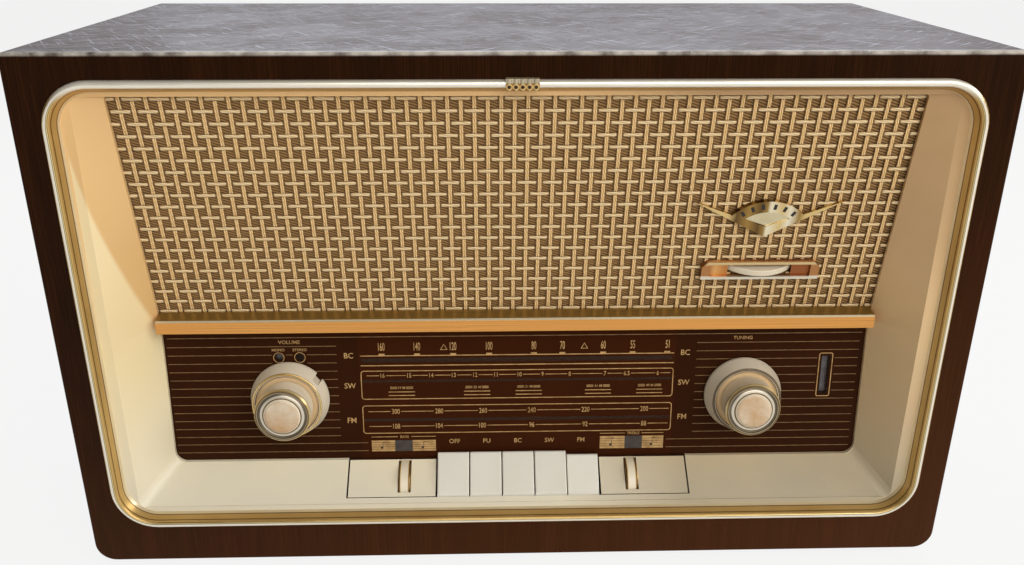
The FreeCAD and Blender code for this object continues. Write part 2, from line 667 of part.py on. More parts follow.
def escutcheon():
    """Moulded frame with walls that twist from the flat rim to the leaning grille and dial."""
    body = new_body("escutcheon")
    wall, rim, toe = d.mask_wall, d.rim_depth, d.apron_toe
    crease = ring_half - d.rim_band
    narrowing = (crease - window_half) / (apron_back - rim)
    levels = [(window_top, cloth_depth(window_top) - wall, window_half),
              (d.grille_foot, cloth_depth(d.grille_foot) - wall, window_half),
              (d.glass_head, glass_depth(d.glass_head) - wall, window_half),
              (d.window_bottom, apron_back, window_half),
              (apron_foot + toe * tangent(d.apron_angle), rim + toe, crease - toe * narrowing)]

    def sections(outside):
        drawn = []
        for step, (height, depth, half) in enumerate(levels):
            if outside:
                grown = height + wall if step == 0 else height
                sketch = sketch_on(body, "XY_Plane", grown)
                wide = crease + (wall / 2 if step == 0 else wall)
                back = cloth_depth(grown) if step == 0 else depth + wall
                polygon(sketch, [(-wide, rim), (wide, rim), (half + wall, back), (-half - wall, back)])
            else:
                sketch = sketch_on(body, "XY_Plane", height)
                open_front = rim - d.cut_overrun
                polygon(sketch, [(-crease, open_front), (crease, open_front), (crease, rim),
                                 (half, depth), (-half, depth), (-crease, rim)])
            drawn.append(sketch)
        return drawn

    def loft(kind, drawn):
        feature = body.newObject(kind, "walls")
        feature.Profile = drawn[0]
        feature.Sections = drawn[1:]
        feature.Ruled = True

    loft("PartDesign::AdditiveLoft", sections(outside=True))
    plate = sketch_on(body, "XZ_Plane", -(rim + wall))
    inset_ring(plate, d.ring_seat)
    pad(body, plate, wall)
    back = d.board_thickness + wall
    skirt = sketch_on(body, "XZ_Plane", -back)
    inset_ring(skirt, d.ring_seat)
    inset_ring(skirt, d.ring_seat + wall)
    pad(body, skirt, back - rim)
    lip = sketch_on(body, "XZ_Plane", -back)
    inset_ring(lip, d.ring_seat - d.mask_lip)
    inset_ring(lip, d.ring_seat + wall)
    pad(body, lip, wall)
    loft("PartDesign::SubtractiveLoft", sections(outside=False))
    window = sketch_on(body, "XZ_Plane")
    rounded(window, -window_half, window_half, d.window_bottom, window_top, d.window_corner, wall)
    pocket(body, window, glass_depth(d.grille_foot) + cloth_depth(d.grille_foot))
    keys = sketch_on(body, "XY_Plane", d.window_bottom + d.cut_overrun)
    rectangle(keys, -(d.opening_width / 2), d.opening_width / 2, d.opening_front,
              d.glass_foot_depth + d.cut_overrun)
    pocket(body, keys, d.window_bottom + d.cut_overrun - d.opening_floor)

    def wall_to_apron(box):
        return (near(box.ZMax, d.window_bottom) and near(box.YMax, apron_back)
                and box.XLength > d.rim_band.number and box.ZLength > d.rim_band.number)

    soften(body, d.window_corner, wall_to_apron)
    keep("escutcheon", place(body, ROOM))


# Grille: cloth, baffle, loudspeakers, badge and balance control

def grille_outline(sketch):
    half = window_half + d.cloth_margin
    foot = (d.grille_foot - d.cloth_foot_gap - window_top) / cosine(d.grille_lean)
    rectangle(sketch, -half, half, foot, d.cloth_head)
    slot, tall = d.balance_slot_half, d.balance_slot_half_height
    rectangle(sketch, balance_x - slot, balance_x + slot, -balance_drop - tall, tall - balance_drop)


def grille_cloth():
    body = new_body("grille_cloth")
    sketch = sketch_on(body, lift=-d.cloth_thickness)
    grille_outline(sketch)
    pad(body, sketch, d.cloth_thickness)
    keep("grille_cloth", place(body, GRILLE))


def baffle_board():
    body = new_body("baffle_board")
    sketch = sketch_on(body, lift=-(d.cloth_thickness + d.baffle_thickness))
    grille_outline(sketch)
    for x in (-d.speaker_x, d.speaker_x):
        circle(sketch, x, -speaker_drop, cone_hole_radius)
    pad(body, sketch, d.baffle_thickness)
    keep("baffle_board", place(body, GRILLE))


def front_speakers():
    """Pressed baskets with their magnets, and the paper cones inside them."""
    back = -(d.cloth_thickness + d.baffle_thickness)
    rim, sheet = d.speaker_rim, d.basket_sheet
    neck, deep = d.basket_neck_radius, d.basket_depth
    basket = [(cone_hole_radius, 0), (speaker_radius, 0), (speaker_radius, -sheet),
              (cone_hole_radius + sheet, -sheet), (neck + sheet, -deep), (d.coil_radius, -deep),
              (d.coil_radius, sheet - deep), (neck, sheet - deep), (cone_hole_radius, -rim)]
    magnet = [(0, -deep), (d.magnet_radius, -deep), (d.magnet_radius, -deep - d.magnet_depth),
              (0, -deep - d.magnet_depth)]
    top, low = cone_hole_radius - d.cone_gap, d.coil_radius - d.cone_gap
    cone = [(0, -d.cone_depth), (low, -d.cone_depth), (top - rim, -d.cone_gap), (top, -d.cone_gap),
            (top, -d.cone_gap - d.cone_sheet), (top - rim, -d.cone_gap - d.cone_sheet),
            (low, -d.cone_depth - d.cone_sheet), (low, d.cone_gap - deep), (0, d.cone_gap - deep)]
    frames, cones = [], []
    for x in (-d.speaker_x, d.speaker_x):
        at = (x, -speaker_drop, back)
        frames.append(turned("basket", basket, GRILLE, at))
        frames.append(turned("magnet", magnet, GRILLE, at))
        cones.append(turned("cone", cone, GRILLE, at))
    gathered("speaker_frames", frames)
    gathered("speaker_cones", cones)


def badge():
    """Chevron with an arched band over it and a thin fan plate between; all left bare."""
    body = new_body("badge")
    centre = d.band_crown - d.band_outer_radius
    outline = sketch_on(body)
    circle(outline, 0, centre, d.band_outer_radius)
    circle(outline, 0, centre, d.band_inner_radius)
    pad(body, outline, d.badge_height + d.band_height)
    reach = 2 * d.band_outer_radius
    spread = reach * tangent(d.band_half_angle)
    beside = sketch_on(body, lift=-d.cut_overrun)
    polygon(beside, [(0, centre), (spread, centre + reach), (spread, centre - reach),
                     (-spread, centre - reach), (-spread, centre + reach)])
    pocket(body, beside, d.badge_height + d.band_height + 2 * d.cut_overrun, onward=True)
    vee = sketch_on(body)
    polygon(vee, [(-d.badge_half, 0), (0, -d.badge_point), (d.badge_half, 0), (0, -d.badge_crotch)])
    pad(body, vee, d.badge_height)
    fan = sketch_on(body)
    half = d.band_inner_radius * sine(d.band_half_angle)
    side = half * d.badge_crotch / d.badge_half - d.badge_crotch
    crown = centre + (d.band_inner_radius + d.band_outer_radius) / 2
    low = -((d.badge_crotch + d.badge_point) / 2)
    polygon(fan, [(0, low), (half, side), (0, crown), (-half, side)])
    pad(body, fan, d.fan_height)
    keep("badge", place(body, GRILLE, (knob_x, -badge_drop, 0)))


def balance_control():
    """Gilt surround, thumbwheel through the grille and the control it turns."""
    surround = new_body("balance_surround")
    half, tall, corner = d.surround_half, d.surround_half_height, d.surround_corner
    sketch = sketch_on(surround)
    polygon(sketch, [(-half, -tall), (half, -tall), (half, tall - corner), (half - corner, tall),
                     (corner - half, tall), (-half, tall - corner)])
    slot = d.surround_slot_half
    inner = tall - d.surround_rim
    rectangle(sketch, -slot, slot, -inner, inner)
    pad(surround, sketch, d.surround_height)
    tray = sketch_on(surround, lift=d.surround_height)
    rim = d.surround_rim
    rectangle(tray, rim + corner - half, half - corner - rim, -inner, inner)
    pocket(surround, tray, d.surround_height - d.surround_floor)
    keep("balance_surround", place(surround, GRILLE, (balance_x, -balance_drop, 0)))
    thick, axle = d.balance_width / 2, d.balance_axle
    centre = (balance_x, -balance_drop, d.balance_proud - d.balance_radius)
    wheel = turned("balance_wheel", [(0, -thick - axle), (d.shaft_radius, -thick - axle),
                                     (d.shaft_radius, -thick), (d.balance_radius, -thick),
                                     (d.balance_radius, thick), (0, thick)],
                   GRILLE, centre, ALONG_Y)
    round_rim(wheel, d.wheel_edge_round, thick, -thick)
    keep("balance_wheel", wheel)


def balance_pot():
    """Control under the balance wheel, held to the baffle by its lug."""
    body = new_body("balance_pot")
    start = d.balance_width / 2 + d.tone_pot_gap
    baffle_back = d.balance_radius - d.balance_proud - d.cloth_thickness - d.baffle_thickness
    ring = sketch_on(body, lift=-start - d.balance_pot_height)
    circle(ring, 0, 0, d.tone_pot_radius)
    circle(ring, 0, 0, d.shaft_radius + d.running_gap)
    pad(body, ring, d.balance_pot_height)
    lug = sketch_on(body, lift=-start - d.balance_pot_height)
    edge = d.tone_pot_radius - d.panel_sheet / 2
    rectangle(lug, -d.tone_pot_lug, d.tone_pot_lug, -baffle_back, -edge)
    pad(body, lug, d.balance_pot_height)
    centre = (balance_x, -balance_drop, d.balance_proud - d.balance_radius)
    return place(body, GRILLE, centre, ALONG_Y)


# Dial glass and divider bar

def divider_bar():
    body = new_body("divider_bar")
    half = window_half - d.bar_end_gap
    sketch = sketch_on(body, "YZ_Plane", -half)
    front, chamfer = d.bar_front_depth, d.bar_chamfer
    head = d.bar_bottom + d.bar_front_height
    polygon(sketch, [(front, d.bar_bottom), (front, head), (front + chamfer, head + chamfer),
                     (d.bar_back_depth, d.bar_top), (d.bar_back_depth, d.bar_step),
                     (glass_depth(d.bar_step) - d.bar_gap, d.bar_step),
                     (glass_depth(d.bar_bottom) - d.bar_gap, d.bar_bottom)])
    pad(body, sketch, 2 * half)
    keep("divider_bar", place(body, ROOM))


def along_glass(height):
    """Place up the leaning glass for a height."""
    return (height - d.knob_height) / cosine(d.glass_lean)


def dial_glass():
    body = new_body("dial_glass")
    sketch = sketch_on(body, lift=-d.glass_thickness)
    half = window_half + d.glass_margin
    rounded(sketch, -half, half, along_glass(d.window_bottom - d.glass_tuck),
            along_glass(d.glass_head + d.glass_rise), d.glass_corner, d.glass_corner)
    for x in (-knob_x, knob_x):
        circle(sketch, x, 0, d.glass_hole_radius)
    pad(body, sketch, d.glass_thickness)
    keep("dial_glass", place(body, DIAL))


def dial_backplate():
    body = new_body("dial_backplate")
    sketch = sketch_on(body, lift=-d.backplate_back)
    half = backplate_half
    rectangle(sketch, -half, half, d.backplate_foot, d.backplate_head)
    pad(body, sketch, d.backplate_sheet)
    keep("dial_backplate", place(body, DIAL))


def tuning_eye():
    """Indicator valve upright behind its window, with the base that holds it to the drive plate."""
    radius, length = d.eye_radius, d.eye_length / 2
    eye_x = window_half - d.eye_inset
    set_back = -(d.glass_thickness + d.eye_gap + radius)
    tube = turned("eye_tube", [(0, -length), (radius, -length), (radius, length), (0, length)],
                  DIAL, (eye_x, d.eye_level, set_back), ALONG_Y)
    round_rim(tube, d.eye_dome, length)
    base = new_body("eye_base")
    foot = d.eye_level - length
    ring = sketch_on(base, "XZ_Plane", -(foot - d.eye_base_length))
    circle(ring, 0, set_back, d.eye_base_radius)
    drum = pad(base, ring, d.eye_base_length)
    drum.Reversed = True
    arm = sketch_on(base, "XZ_Plane", -(foot - d.eye_base_length))
    rectangle(arm, -d.eye_arm_half, d.eye_arm_half, -d.plate_front, set_back)
    beam = pad(base, arm, d.eye_arm_height)
    beam.Reversed = True
    place(base, DIAL, (eye_x, 0, 0))
    gathered("tuning_eye", [tube, base])


def dial_lamps():
    """Two small lamps on the backplate that light the dial from behind."""
    pieces = []
    points = [(0, 0), (d.lamp_radius, 0), (d.lamp_radius, d.lamp_length), (0, d.lamp_length)]
    lamp_x = backplate_half - d.lamp_inset
    for x in (-lamp_x, lamp_x):
        at = (x, d.lamp_level, d.backplate_sheet - d.backplate_back)
        lamp = turned("lamp", points, DIAL, at)
        round_rim(lamp, d.lamp_dome, d.lamp_length)
        pieces.append(lamp)
    gathered("dial_lamps", pieces)


# Knob pairs

BEZEL_PROFILE_SHARES = ((1.0, 0.45), (0.8, 1.0), (0.62, 0.95), (0.5, 0.6), (0.3, 0.85), (0.0, 1.0))


def ring_knob(name, x, notched):
    """Outer ring of a knob pair: hollow skirt, dished front and a hub on its sleeve."""
    bore = d.sleeve_radius + d.running_gap
    dish = d.ring_knob_height - d.ring_knob_dish
    web = dish - d.ring_knob_web
    front, wall = d.ring_knob_front_radius, d.ring_knob_wall
    points = [(bore, d.ring_knob_step), (d.ring_knob_hub, d.ring_knob_step), (d.ring_knob_hub, web),
              (front - wall, web), (d.ring_knob_radius - wall, d.ring_knob_base),
              (d.ring_knob_radius, d.ring_knob_base), (d.ring_knob_radius, d.ring_knob_step),
              (front, d.ring_knob_height), (front - d.ring_knob_dish, d.ring_knob_height),
              (front - 2 * d.ring_knob_dish, dish), (bore, dish)]
    turn = FreeCAD.Rotation(FreeCAD.Vector(0, 0, 1), d.notch_angle.number)
    body = turned(name, points, DIAL, (x, 0, 0), turn)
    round_rim(body, d.ring_knob_round, d.ring_knob_height)
    if notched:
        notch = sketch_on(body, lift=d.ring_knob_height)
        rectangle(notch, d.ring_knob_radius - d.notch_depth, d.ring_knob_radius + d.cut_overrun,
                  -d.notch_half, d.notch_half)
        pocket(body, notch, d.ring_knob_height)
    keep(name, body)


def inner_knob(name, bezel_name, x):
    """Hollow inner knob with a capped front and its bright bezel."""
    bore = d.shaft_radius + d.running_gap
    base, shoulder, wall = d.knob_base, d.knob_shoulder, d.knob_wall
    socket = base + d.knob_socket_depth
    points = [(bore, base), (d.knob_hub_radius, base), (d.knob_hub_radius, shoulder - wall),
              (d.knob_radius - wall, shoulder - wall), (d.knob_base_radius - wall, base),
              (d.knob_base_radius, base), (d.knob_radius, shoulder), (d.knob_cap_radius, shoulder),
              (d.knob_cap_radius, d.knob_height_front), (0, d.knob_height_front), (0, socket),
              (bore, socket)]
    body = turned(name, points, DIAL, (x, 0, 0))
    round_rim(body, d.knob_cap_round, d.knob_height_front)
    keep(name, body)
    inner = d.knob_cap_radius + d.bezel_gap
    span = d.bezel_radius - inner
    profile = [(inner, shoulder), (d.bezel_radius, shoulder)]
    for across, up in BEZEL_PROFILE_SHARES:
        profile.append((inner + span * across, shoulder + d.bezel_height * up))
    keep(bezel_name, turned(bezel_name, profile, DIAL, (x, 0, 0)))


def spool(level, radius):
    """Groove profile of a cord spool, from its back to its front."""
    edge = d.spool_radius + d.spool_flange
    half, land, groove = d.spool_half, d.spool_land, d.spool_groove_half
    return [(radius, level - half), (edge, level - half), (edge, level - half + land),
            (d.spool_radius, level - groove), (d.spool_radius, level + groove),
            (edge, level + half - land), (edge, level + half), (radius, level + half)]


def shafts():
    """Inner shafts with the sleeves that turn on them."""
    radius = d.shaft_radius
    front = d.knob_base + d.knob_socket_depth - d.shaft_end_gap
    volume = [(0, -d.volume_shaft_back), (radius, -d.volume_shaft_back), (radius, front), (0, front)]
    keep("volume_shaft", turned("volume_shaft", volume, DIAL, (-knob_x, 0, 0)))
    wheel_front = d.flywheel_width - d.flywheel_back
    tuning = [(0, -d.flywheel_back), (d.flywheel_radius, -d.flywheel_back),
              (d.flywheel_radius, wheel_front), (radius, wheel_front)]
    tuning += spool(-d.fm_plane, radius) + [(radius, front), (0, front)]
    keep("fm_tuning_shaft", turned("fm_tuning_shaft", tuning, DIAL, (knob_x, 0, 0)))
    bore = radius + d.running_gap
    back = d.spool_half + d.shaft_end_gap - d.fm_plane
    sleeve = [(bore, back), (d.sleeve_radius, back)] + spool(-d.am_plane, d.sleeve_radius)
    sleeve += [(d.sleeve_radius, d.sleeve_front), (bore, d.sleeve_front)]
    keep("am_sleeve", turned("am_sleeve", sleeve, DIAL, (knob_x, 0, 0)))


def mode_sleeve():
    """Sleeve of the mode ring with a flag that shows in one window or the other."""
    body = new_body("mode_sleeve")
    bore = d.shaft_radius + d.running_gap
    back = d.plate_front - d.pot_gap
    tube = sketch_on(body, lift=-back)
    circle(tube, 0, 0, d.sleeve_radius)
    circle(tube, 0, 0, bore)
    pad(body, tube, back + d.sleeve_front)
    hub = sketch_on(body, lift=-(d.flag_plane + d.flag_sheet))
    circle(hub, 0, 0, d.flag_hub_radius)
    circle(hub, 0, 0, bore)
    pad(body, hub, d.flag_sheet)
    arm = sketch_on(body, lift=-(d.flag_plane + d.flag_sheet))
    half = d.flag_half_width
    rectangle(arm, -half, half, d.sleeve_radius - d.flag_sheet / 2, d.flag_reach)
    pad(body, arm, d.flag_sheet)
    aim = math.degrees(math.asin(d.mode_window_offset.number / d.flag_dot_level.number))
    turn = FreeCAD.Rotation(FreeCAD.Vector(0, 0, 1), aim)
    keep("mode_sleeve", place(body, DIAL, (-knob_x, 0, 0), turn))


def volume_pot():
    bore = d.shaft_radius + d.running_gap
    face = -(d.plate_front + d.plate_sheet)
    points = [(bore, face), (d.pot_radius, face), (d.pot_radius, face - d.pot_depth),
              (bore, face - d.pot_depth)]
    body = turned("volume_pot", points, DIAL, (-knob_x, 0, 0))
    keep("volume_pot", body)


def mode_switch():
    bore = d.sleeve_radius + d.running_gap
    points = [(bore, -d.plate_front), (d.switch_radius, -d.plate_front),
              (d.switch_radius, d.switch_depth - d.plate_front), (bore, d.switch_depth - d.plate_front)]
    keep("mode_switch", turned("mode_switch", points, DIAL, (-knob_x, 0, 0)))


# Cord drive

cord_run = d.spool_radius + d.cord_gap + d.cord_radius
drum_y = d.spool_radius - d.drum_radius


def drive_plate():
    """Upright steel plate with the tuning bush, the drum stud, pillars and rail tabs."""
    body = new_body("drive_plate")
    half, keys = window_half - d.plate_side_margin, d.plate_key_half_width
    sheet, front = d.plate_sheet, d.plate_front
    floor = floor_height + d.plate_floor_gap - d.knob_height
    foot = (floor + front * sine(d.glass_lean)) / cosine(d.glass_lean)
    sketch = sketch_on(body, lift=-(front + sheet))
    polygon(sketch, [(-half, foot), (-keys, foot), (-keys, d.plate_key_head), (keys, d.plate_key_head),
                     (keys, foot), (half, foot), (half, d.plate_head), (-half, d.plate_head)])
    for x in (-knob_x, knob_x):
        circle(sketch, x, 0, d.shaft_radius + d.running_gap)
    pad(body, sketch, sheet)
    bush = sketch_on(body, lift=-(front + d.bush_back))
    circle(bush, knob_x, 0, d.bush_radius)
    circle(bush, knob_x, 0, d.shaft_radius + d.running_gap)
    pad(body, bush, d.bush_back + d.bush_front)
    stud = sketch_on(body, lift=-(front + sheet / 2))
    circle(stud, drum_x, drum_y, d.shaft_radius)
    pad(body, stud, front + sheet / 2 - d.stud_end)
    pillars = sketch_on(body, lift=-(front + sheet / 2))
    pillar_x = backplate_half - d.pillar_inset - d.pillar_radius
    for x in (-pillar_x, pillar_x):
        for level in (d.pillar_foot, d.pillar_head):
            circle(pillars, x, level, d.pillar_radius)
    pad(body, pillars, front + sheet / 2 - d.backplate_back)
    tabs = sketch_on(body, lift=-(front + sheet / 2))
    inner = rail_half
    for left, right in ((-inner - d.rail_tab_sheet, -inner), (inner, inner + d.rail_tab_sheet)):
        rectangle(tabs, left, right, d.rail_tab_foot, d.rail_level + d.rail_tab_half)
    pad(body, tabs, front + sheet / 2 - d.am_plane + d.rail_tab_half)
    keep("drive_plate", place(body, DIAL))


def drum(name, level):
    """Grooved cord drum with a thin web, turning on the stud."""
    bore = d.shaft_radius + d.running_gap
    edge, half, rim = d.drum_radius + d.drum_flange, d.drum_half, d.drum_radius - d.drum_rim
    groove = d.spool_groove_half
    hub, web = d.drum_hub_half, d.drum_web_half
    upper = [(d.drum_hub_radius, web), (rim, web), (rim, half), (edge, half), (d.drum_radius, groove)]
    lower = [(radius, -height) for radius, height in reversed(upper)]
    points = [(bore, -hub), (bore, hub), (d.drum_hub_radius, hub)] + upper + lower
    points.append((d.drum_hub_radius, -hub))
    keep(name, turned(name, points, DIAL, (drum_x, drum_y, -level)))


def dial_cords():
    """Two closed loops of dial cord, each round a spool and a drum."""
    pieces = []
    for level in (d.am_plane, d.fm_plane):
        path = cord_path(-level.number)
        section = Part.Circle(path.Edges[0].Vertexes[0].Point, FreeCAD.Vector(1, 0, 0),
                              d.cord_radius.number)
        cord = doc.addObject("Part::Feature", "cord")
        cord.Shape = path.makePipeShell([Part.Wire(section.toShape())], True, False)
        cord.Placement = DIAL
        pieces.append(cord)
    gathered("dial_cords", pieces)


def cord_path(z):
    """Closed path of a loop: level upper run, half round the spool, slanting lower run, round the drum."""
    spool_centre = FreeCAD.Vector(knob_x.number, 0, z)
    drum_centre = FreeCAD.Vector(drum_x.number, drum_y.number, z)
    near_radius = cord_run.number
    far_radius = near_radius + (d.drum_radius - d.spool_radius).number
    up = FreeCAD.Vector(0, 1, 0)
    line = spool_centre - drum_centre
    lean = 2 * math.atan2(line.y, line.x)
    down = FreeCAD.Vector(math.sin(lean), -math.cos(lean), 0)
    side = FreeCAD.Vector(math.cos(lean / 2), math.sin(lean / 2), 0)
    top_drum, top_spool = drum_centre + up * far_radius, spool_centre + up * near_radius
    low_spool, low_drum = spool_centre + down * near_radius, drum_centre + down * far_radius
    edges = [Part.LineSegment(top_drum, top_spool),
             Part.Arc(top_spool, spool_centre + side * near_radius, low_spool),
             Part.LineSegment(low_spool, low_drum),
             Part.Arc(low_drum, drum_centre - side * far_radius, top_drum)]
    return Part.Wire([edge.toShape() for edge in edges])


def pointer_rails():
    pieces = []
    for level in (d.am_plane, d.fm_plane):
        rail = doc.addObject("Part::Cylinder", "rail")
        bind(rail, "Radius", d.rail_radius)
        bind(rail, "Height", 2 * rail_half)
        pieces.append(place(rail, DIAL, (-rail_half, d.rail_level, -level), ALONG_X))
    gathered("pointer_rails", pieces)


def carriage(body, level):
    """Block that slides on a rail, with a tab down to the cord."""
    block = sketch_on(body, lift=-(level + d.carriage_half_depth))
    half, tall = d.carriage_half, d.carriage_half_height
    rectangle(block, -half, half, d.rail_level - tall, d.rail_level + tall)
    pad(body, block, 2 * d.carriage_half_depth)
    tab = sketch_on(body, lift=-(level + d.arm_sheet / 2))
    rectangle(tab, -d.arm_half, d.arm_half, cord_run + d.cord_radius + d.clip_gap, d.rail_level - tall / 2)
    pad(body, tab, d.arm_sheet)


def bore_carriage(body, level):
    hole = sketch_on(body, "YZ_Plane", d.carriage_half + d.cut_overrun)
    circle(hole, d.rail_level, -level, d.rail_radius + d.running_gap)
    pocket(body, hole, 2 * (d.carriage_half + d.cut_overrun))


def am_pointer():
    """Pointer that hangs over the backplate's head."""
    body = new_body("am_pointer")
    carriage(body, d.am_plane)
    arm = sketch_on(body, lift=-(d.am_plane + d.arm_sheet / 2))
    rectangle(arm, -d.arm_half, d.arm_half, d.rail_level, d.am_arm_head)
    pad(body, arm, d.arm_sheet)
    reach = sketch_on(body, lift=-d.am_plane)
    rectangle(reach, -d.arm_half, d.arm_half, d.am_arm_head - d.arm_sheet, d.am_arm_head)
    pad(body, reach, d.am_plane - d.pointer_plane)
    needle = sketch_on(body, lift=-(d.pointer_plane + d.arm_sheet))
    rectangle(needle, -d.pointer_half, d.pointer_half, d.am_pointer_foot, d.am_arm_head)
    pad(body, needle, d.arm_sheet)
    bore_carriage(body, d.am_plane)
    keep("am_pointer", place(body, DIAL, (pointer_rest_x, 0, 0)))


def fm_pointer():
    """Pointer that comes up from under the backplate."""
    body = new_body("fm_pointer")
    carriage(body, d.fm_plane)
    behind = d.fm_plane + d.fm_arm_set_back
    arm = sketch_on(body, lift=-(behind + d.arm_sheet / 2))
    rectangle(arm, -d.arm_half, d.arm_half, d.fm_arm_foot, d.rail_level + d.carriage_half_height)
    pad(body, arm, d.arm_sheet)
    bridge = sketch_on(body, lift=-behind)
    rectangle(bridge, -d.arm_half, d.arm_half, d.rail_level, d.rail_level + d.carriage_half_height)
    pad(body, bridge, d.fm_arm_set_back)
    reach = sketch_on(body, lift=-behind)
    rectangle(reach, -d.arm_half, d.arm_half, d.fm_arm_foot, d.fm_arm_foot + d.arm_sheet)
    pad(body, reach, behind - d.pointer_plane)
    needle = sketch_on(body, lift=-(d.pointer_plane + d.arm_sheet))
    rectangle(needle, -d.pointer_half, d.pointer_half, d.fm_arm_foot, d.fm_pointer_head)
    pad(body, needle, d.arm_sheet)
    bore_carriage(body, d.fm_plane)
    keep("fm_pointer", place(body, DIAL, (pointer_rest_x, 0, 0)))


# Tone panels with their wheels

slope_length = (d.window_bottom - apron_foot) / sine(d.apron_angle)
slope_start = (d.opening_front - d.rim_depth) / cosine(d.apron_angle)


def tone_panel(name, sign):
    """Flush panel beside the keys with a slot for its thumbwheel."""
    body = new_body(name)
    sketch = sketch_on(body, lift=-d.panel_sheet)
    inner, outer = d.panel_inner, d.opening_width / 2 - d.panel_gap
    left, right = (inner, outer) if sign > 0 else (-outer, -inner)
    rectangle(sketch, left, right, slope_start + d.panel_front_gap, slope_length - d.panel_gap)
    middle = d.wheel_x * sign
    half, along = d.slot_width / 2, d.slot_length / 2
    rectangle(sketch, middle - half, middle + half, d.wheel_along - along, d.wheel_along + along)
    pad(body, sketch, d.panel_sheet)
    keep(name, place(body, APRON))


def tone_wheel(name, sign):
    """Thumbwheel with the axle that turns its control."""
    half, axle = d.wheel_width / 2, d.axle_length
    points = [(0, -half), (d.wheel_radius, -half), (d.wheel_radius, half), (d.shaft_radius, half),
              (d.shaft_radius, half + axle), (0, half + axle)]
    centre = (d.wheel_x * sign, d.wheel_along, d.wheel_proud - d.wheel_radius)
    body = turned(name, points, APRON, centre, ALONG_MINUS_X if sign > 0 else ALONG_X)
    round_rim(body, d.wheel_edge_round, half, -half)
    keep(name, body)


def tone_pot(sign):
    """Control beside a thumbwheel, hung from the panel by its lug."""
    body = new_body("tone_pot")
    start = d.wheel_width / 2 + d.tone_pot_gap
    drop = d.wheel_proud - d.wheel_radius
    ring = sketch_on(body, lift=start)
    circle(ring, 0, 0, d.tone_pot_radius)
    circle(ring, 0, 0, d.shaft_radius + d.running_gap)
    pad(body, ring, d.tone_pot_width)
    lug = sketch_on(body, lift=start)
    edge = d.tone_pot_radius - d.panel_sheet / 2
    top = -drop - d.panel_sheet
    if sign > 0:
        rectangle(lug, edge, top, -d.tone_pot_lug, d.tone_pot_lug)
    else:
        rectangle(lug, -top, -edge, -d.tone_pot_lug, d.tone_pot_lug)
    pad(body, lug, d.tone_pot_width)
    rotation = ALONG_MINUS_X if sign > 0 else ALONG_X
    return place(body, APRON, (d.wheel_x * sign, d.wheel_along, drop), rotation)


# Piano keys

def key_places():
    """Middle of each key and whether it is pressed."""
    middle = (len(KEY_NAMES) - 1) / 2
    for step, name in enumerate(KEY_NAMES):
        yield name, d.key_pitch * (step - middle), name == PRESSED_KEY


def piano_key(name, x, pressed):
    """Sloping key cap on a lever that turns on the rod."""
    body = new_body(name)
    width = d.key_pitch - d.key_gap
    cap = sketch_on(body, "YZ_Plane", x - width / 2)
    polygon(cap, [(d.key_front, d.key_bottom), (d.key_front, d.key_front_top),
                  (d.key_back - d.key_land, d.key_top), (d.key_back, d.key_top),
                  (d.key_back, d.key_lever_bottom)])
    pad(body, cap, width)

    def shows(box):
        return box.ZMax > (d.key_front_top - d.key_land).number and box.ZMin > d.key_lever_bottom.number

    soften(body, d.key_edge_round, shows)
    lever_start = x - d.key_lever_width / 2
    lever = sketch_on(body, "YZ_Plane", lever_start)
    rectangle(lever, d.key_back - d.key_land, d.key_pivot_depth, d.key_lever_bottom, d.key_lever_top)
    pad(body, lever, d.key_lever_width)
    eye = sketch_on(body, "YZ_Plane", lever_start)
    circle(eye, d.key_pivot_depth, d.key_pivot_height, d.key_eye_radius)
    pad(body, eye, d.key_lever_width)
    hole = sketch_on(body, "YZ_Plane", lever_start + d.key_lever_width + d.cut_overrun)
    circle(hole, d.key_pivot_depth, d.key_pivot_height, d.rod_radius + d.running_gap)
    pocket(body, hole, d.key_lever_width + 2 * d.cut_overrun)
    pivot = FreeCAD.Vector(0, d.key_pivot_depth.number, d.key_pivot_height.number)
    angle = d.key_press_angle.number if pressed else 0
    turn = FreeCAD.Rotation(FreeCAD.Vector(1, 0, 0), angle)
    body.Placement = ROOM.multiply(FreeCAD.Placement(FreeCAD.Vector(), turn, pivot))
    keep(name, body)


def key_frame():
    """Steel channel on the case's floor whose cheeks hold the rod."""
    body = new_body("key_frame")
    half, sheet_thick = d.frame_cheek, d.frame_sheet
    base = sketch_on(body, lift=floor_height)
    rectangle(base, -half - sheet_thick, half + sheet_thick, d.frame_front, d.frame_back)
    pad(body, base, sheet_thick)
    for start in (-half - sheet_thick, half):
        cheek = sketch_on(body, "YZ_Plane", start)
        rectangle(cheek, d.frame_front, d.frame_back, floor_height, d.frame_cheek_top)
        circle(cheek, d.key_pivot_depth, d.key_pivot_height, d.rod_radius + d.running_gap)
        pad(body, cheek, sheet_thick)
    keep("key_frame", place(body, ROOM))


def key_pivot_rod():
    rod = doc.addObject("Part::Cylinder", "rod")
    bind(rod, "Radius", d.rod_radius)
    bind(rod, "Height", 2 * d.rod_half_length)
    at = (-d.rod_half_length, d.key_pivot_depth, d.key_pivot_height)
    keep("key_pivot_rod", place(rod, ROOM, at, ALONG_X))


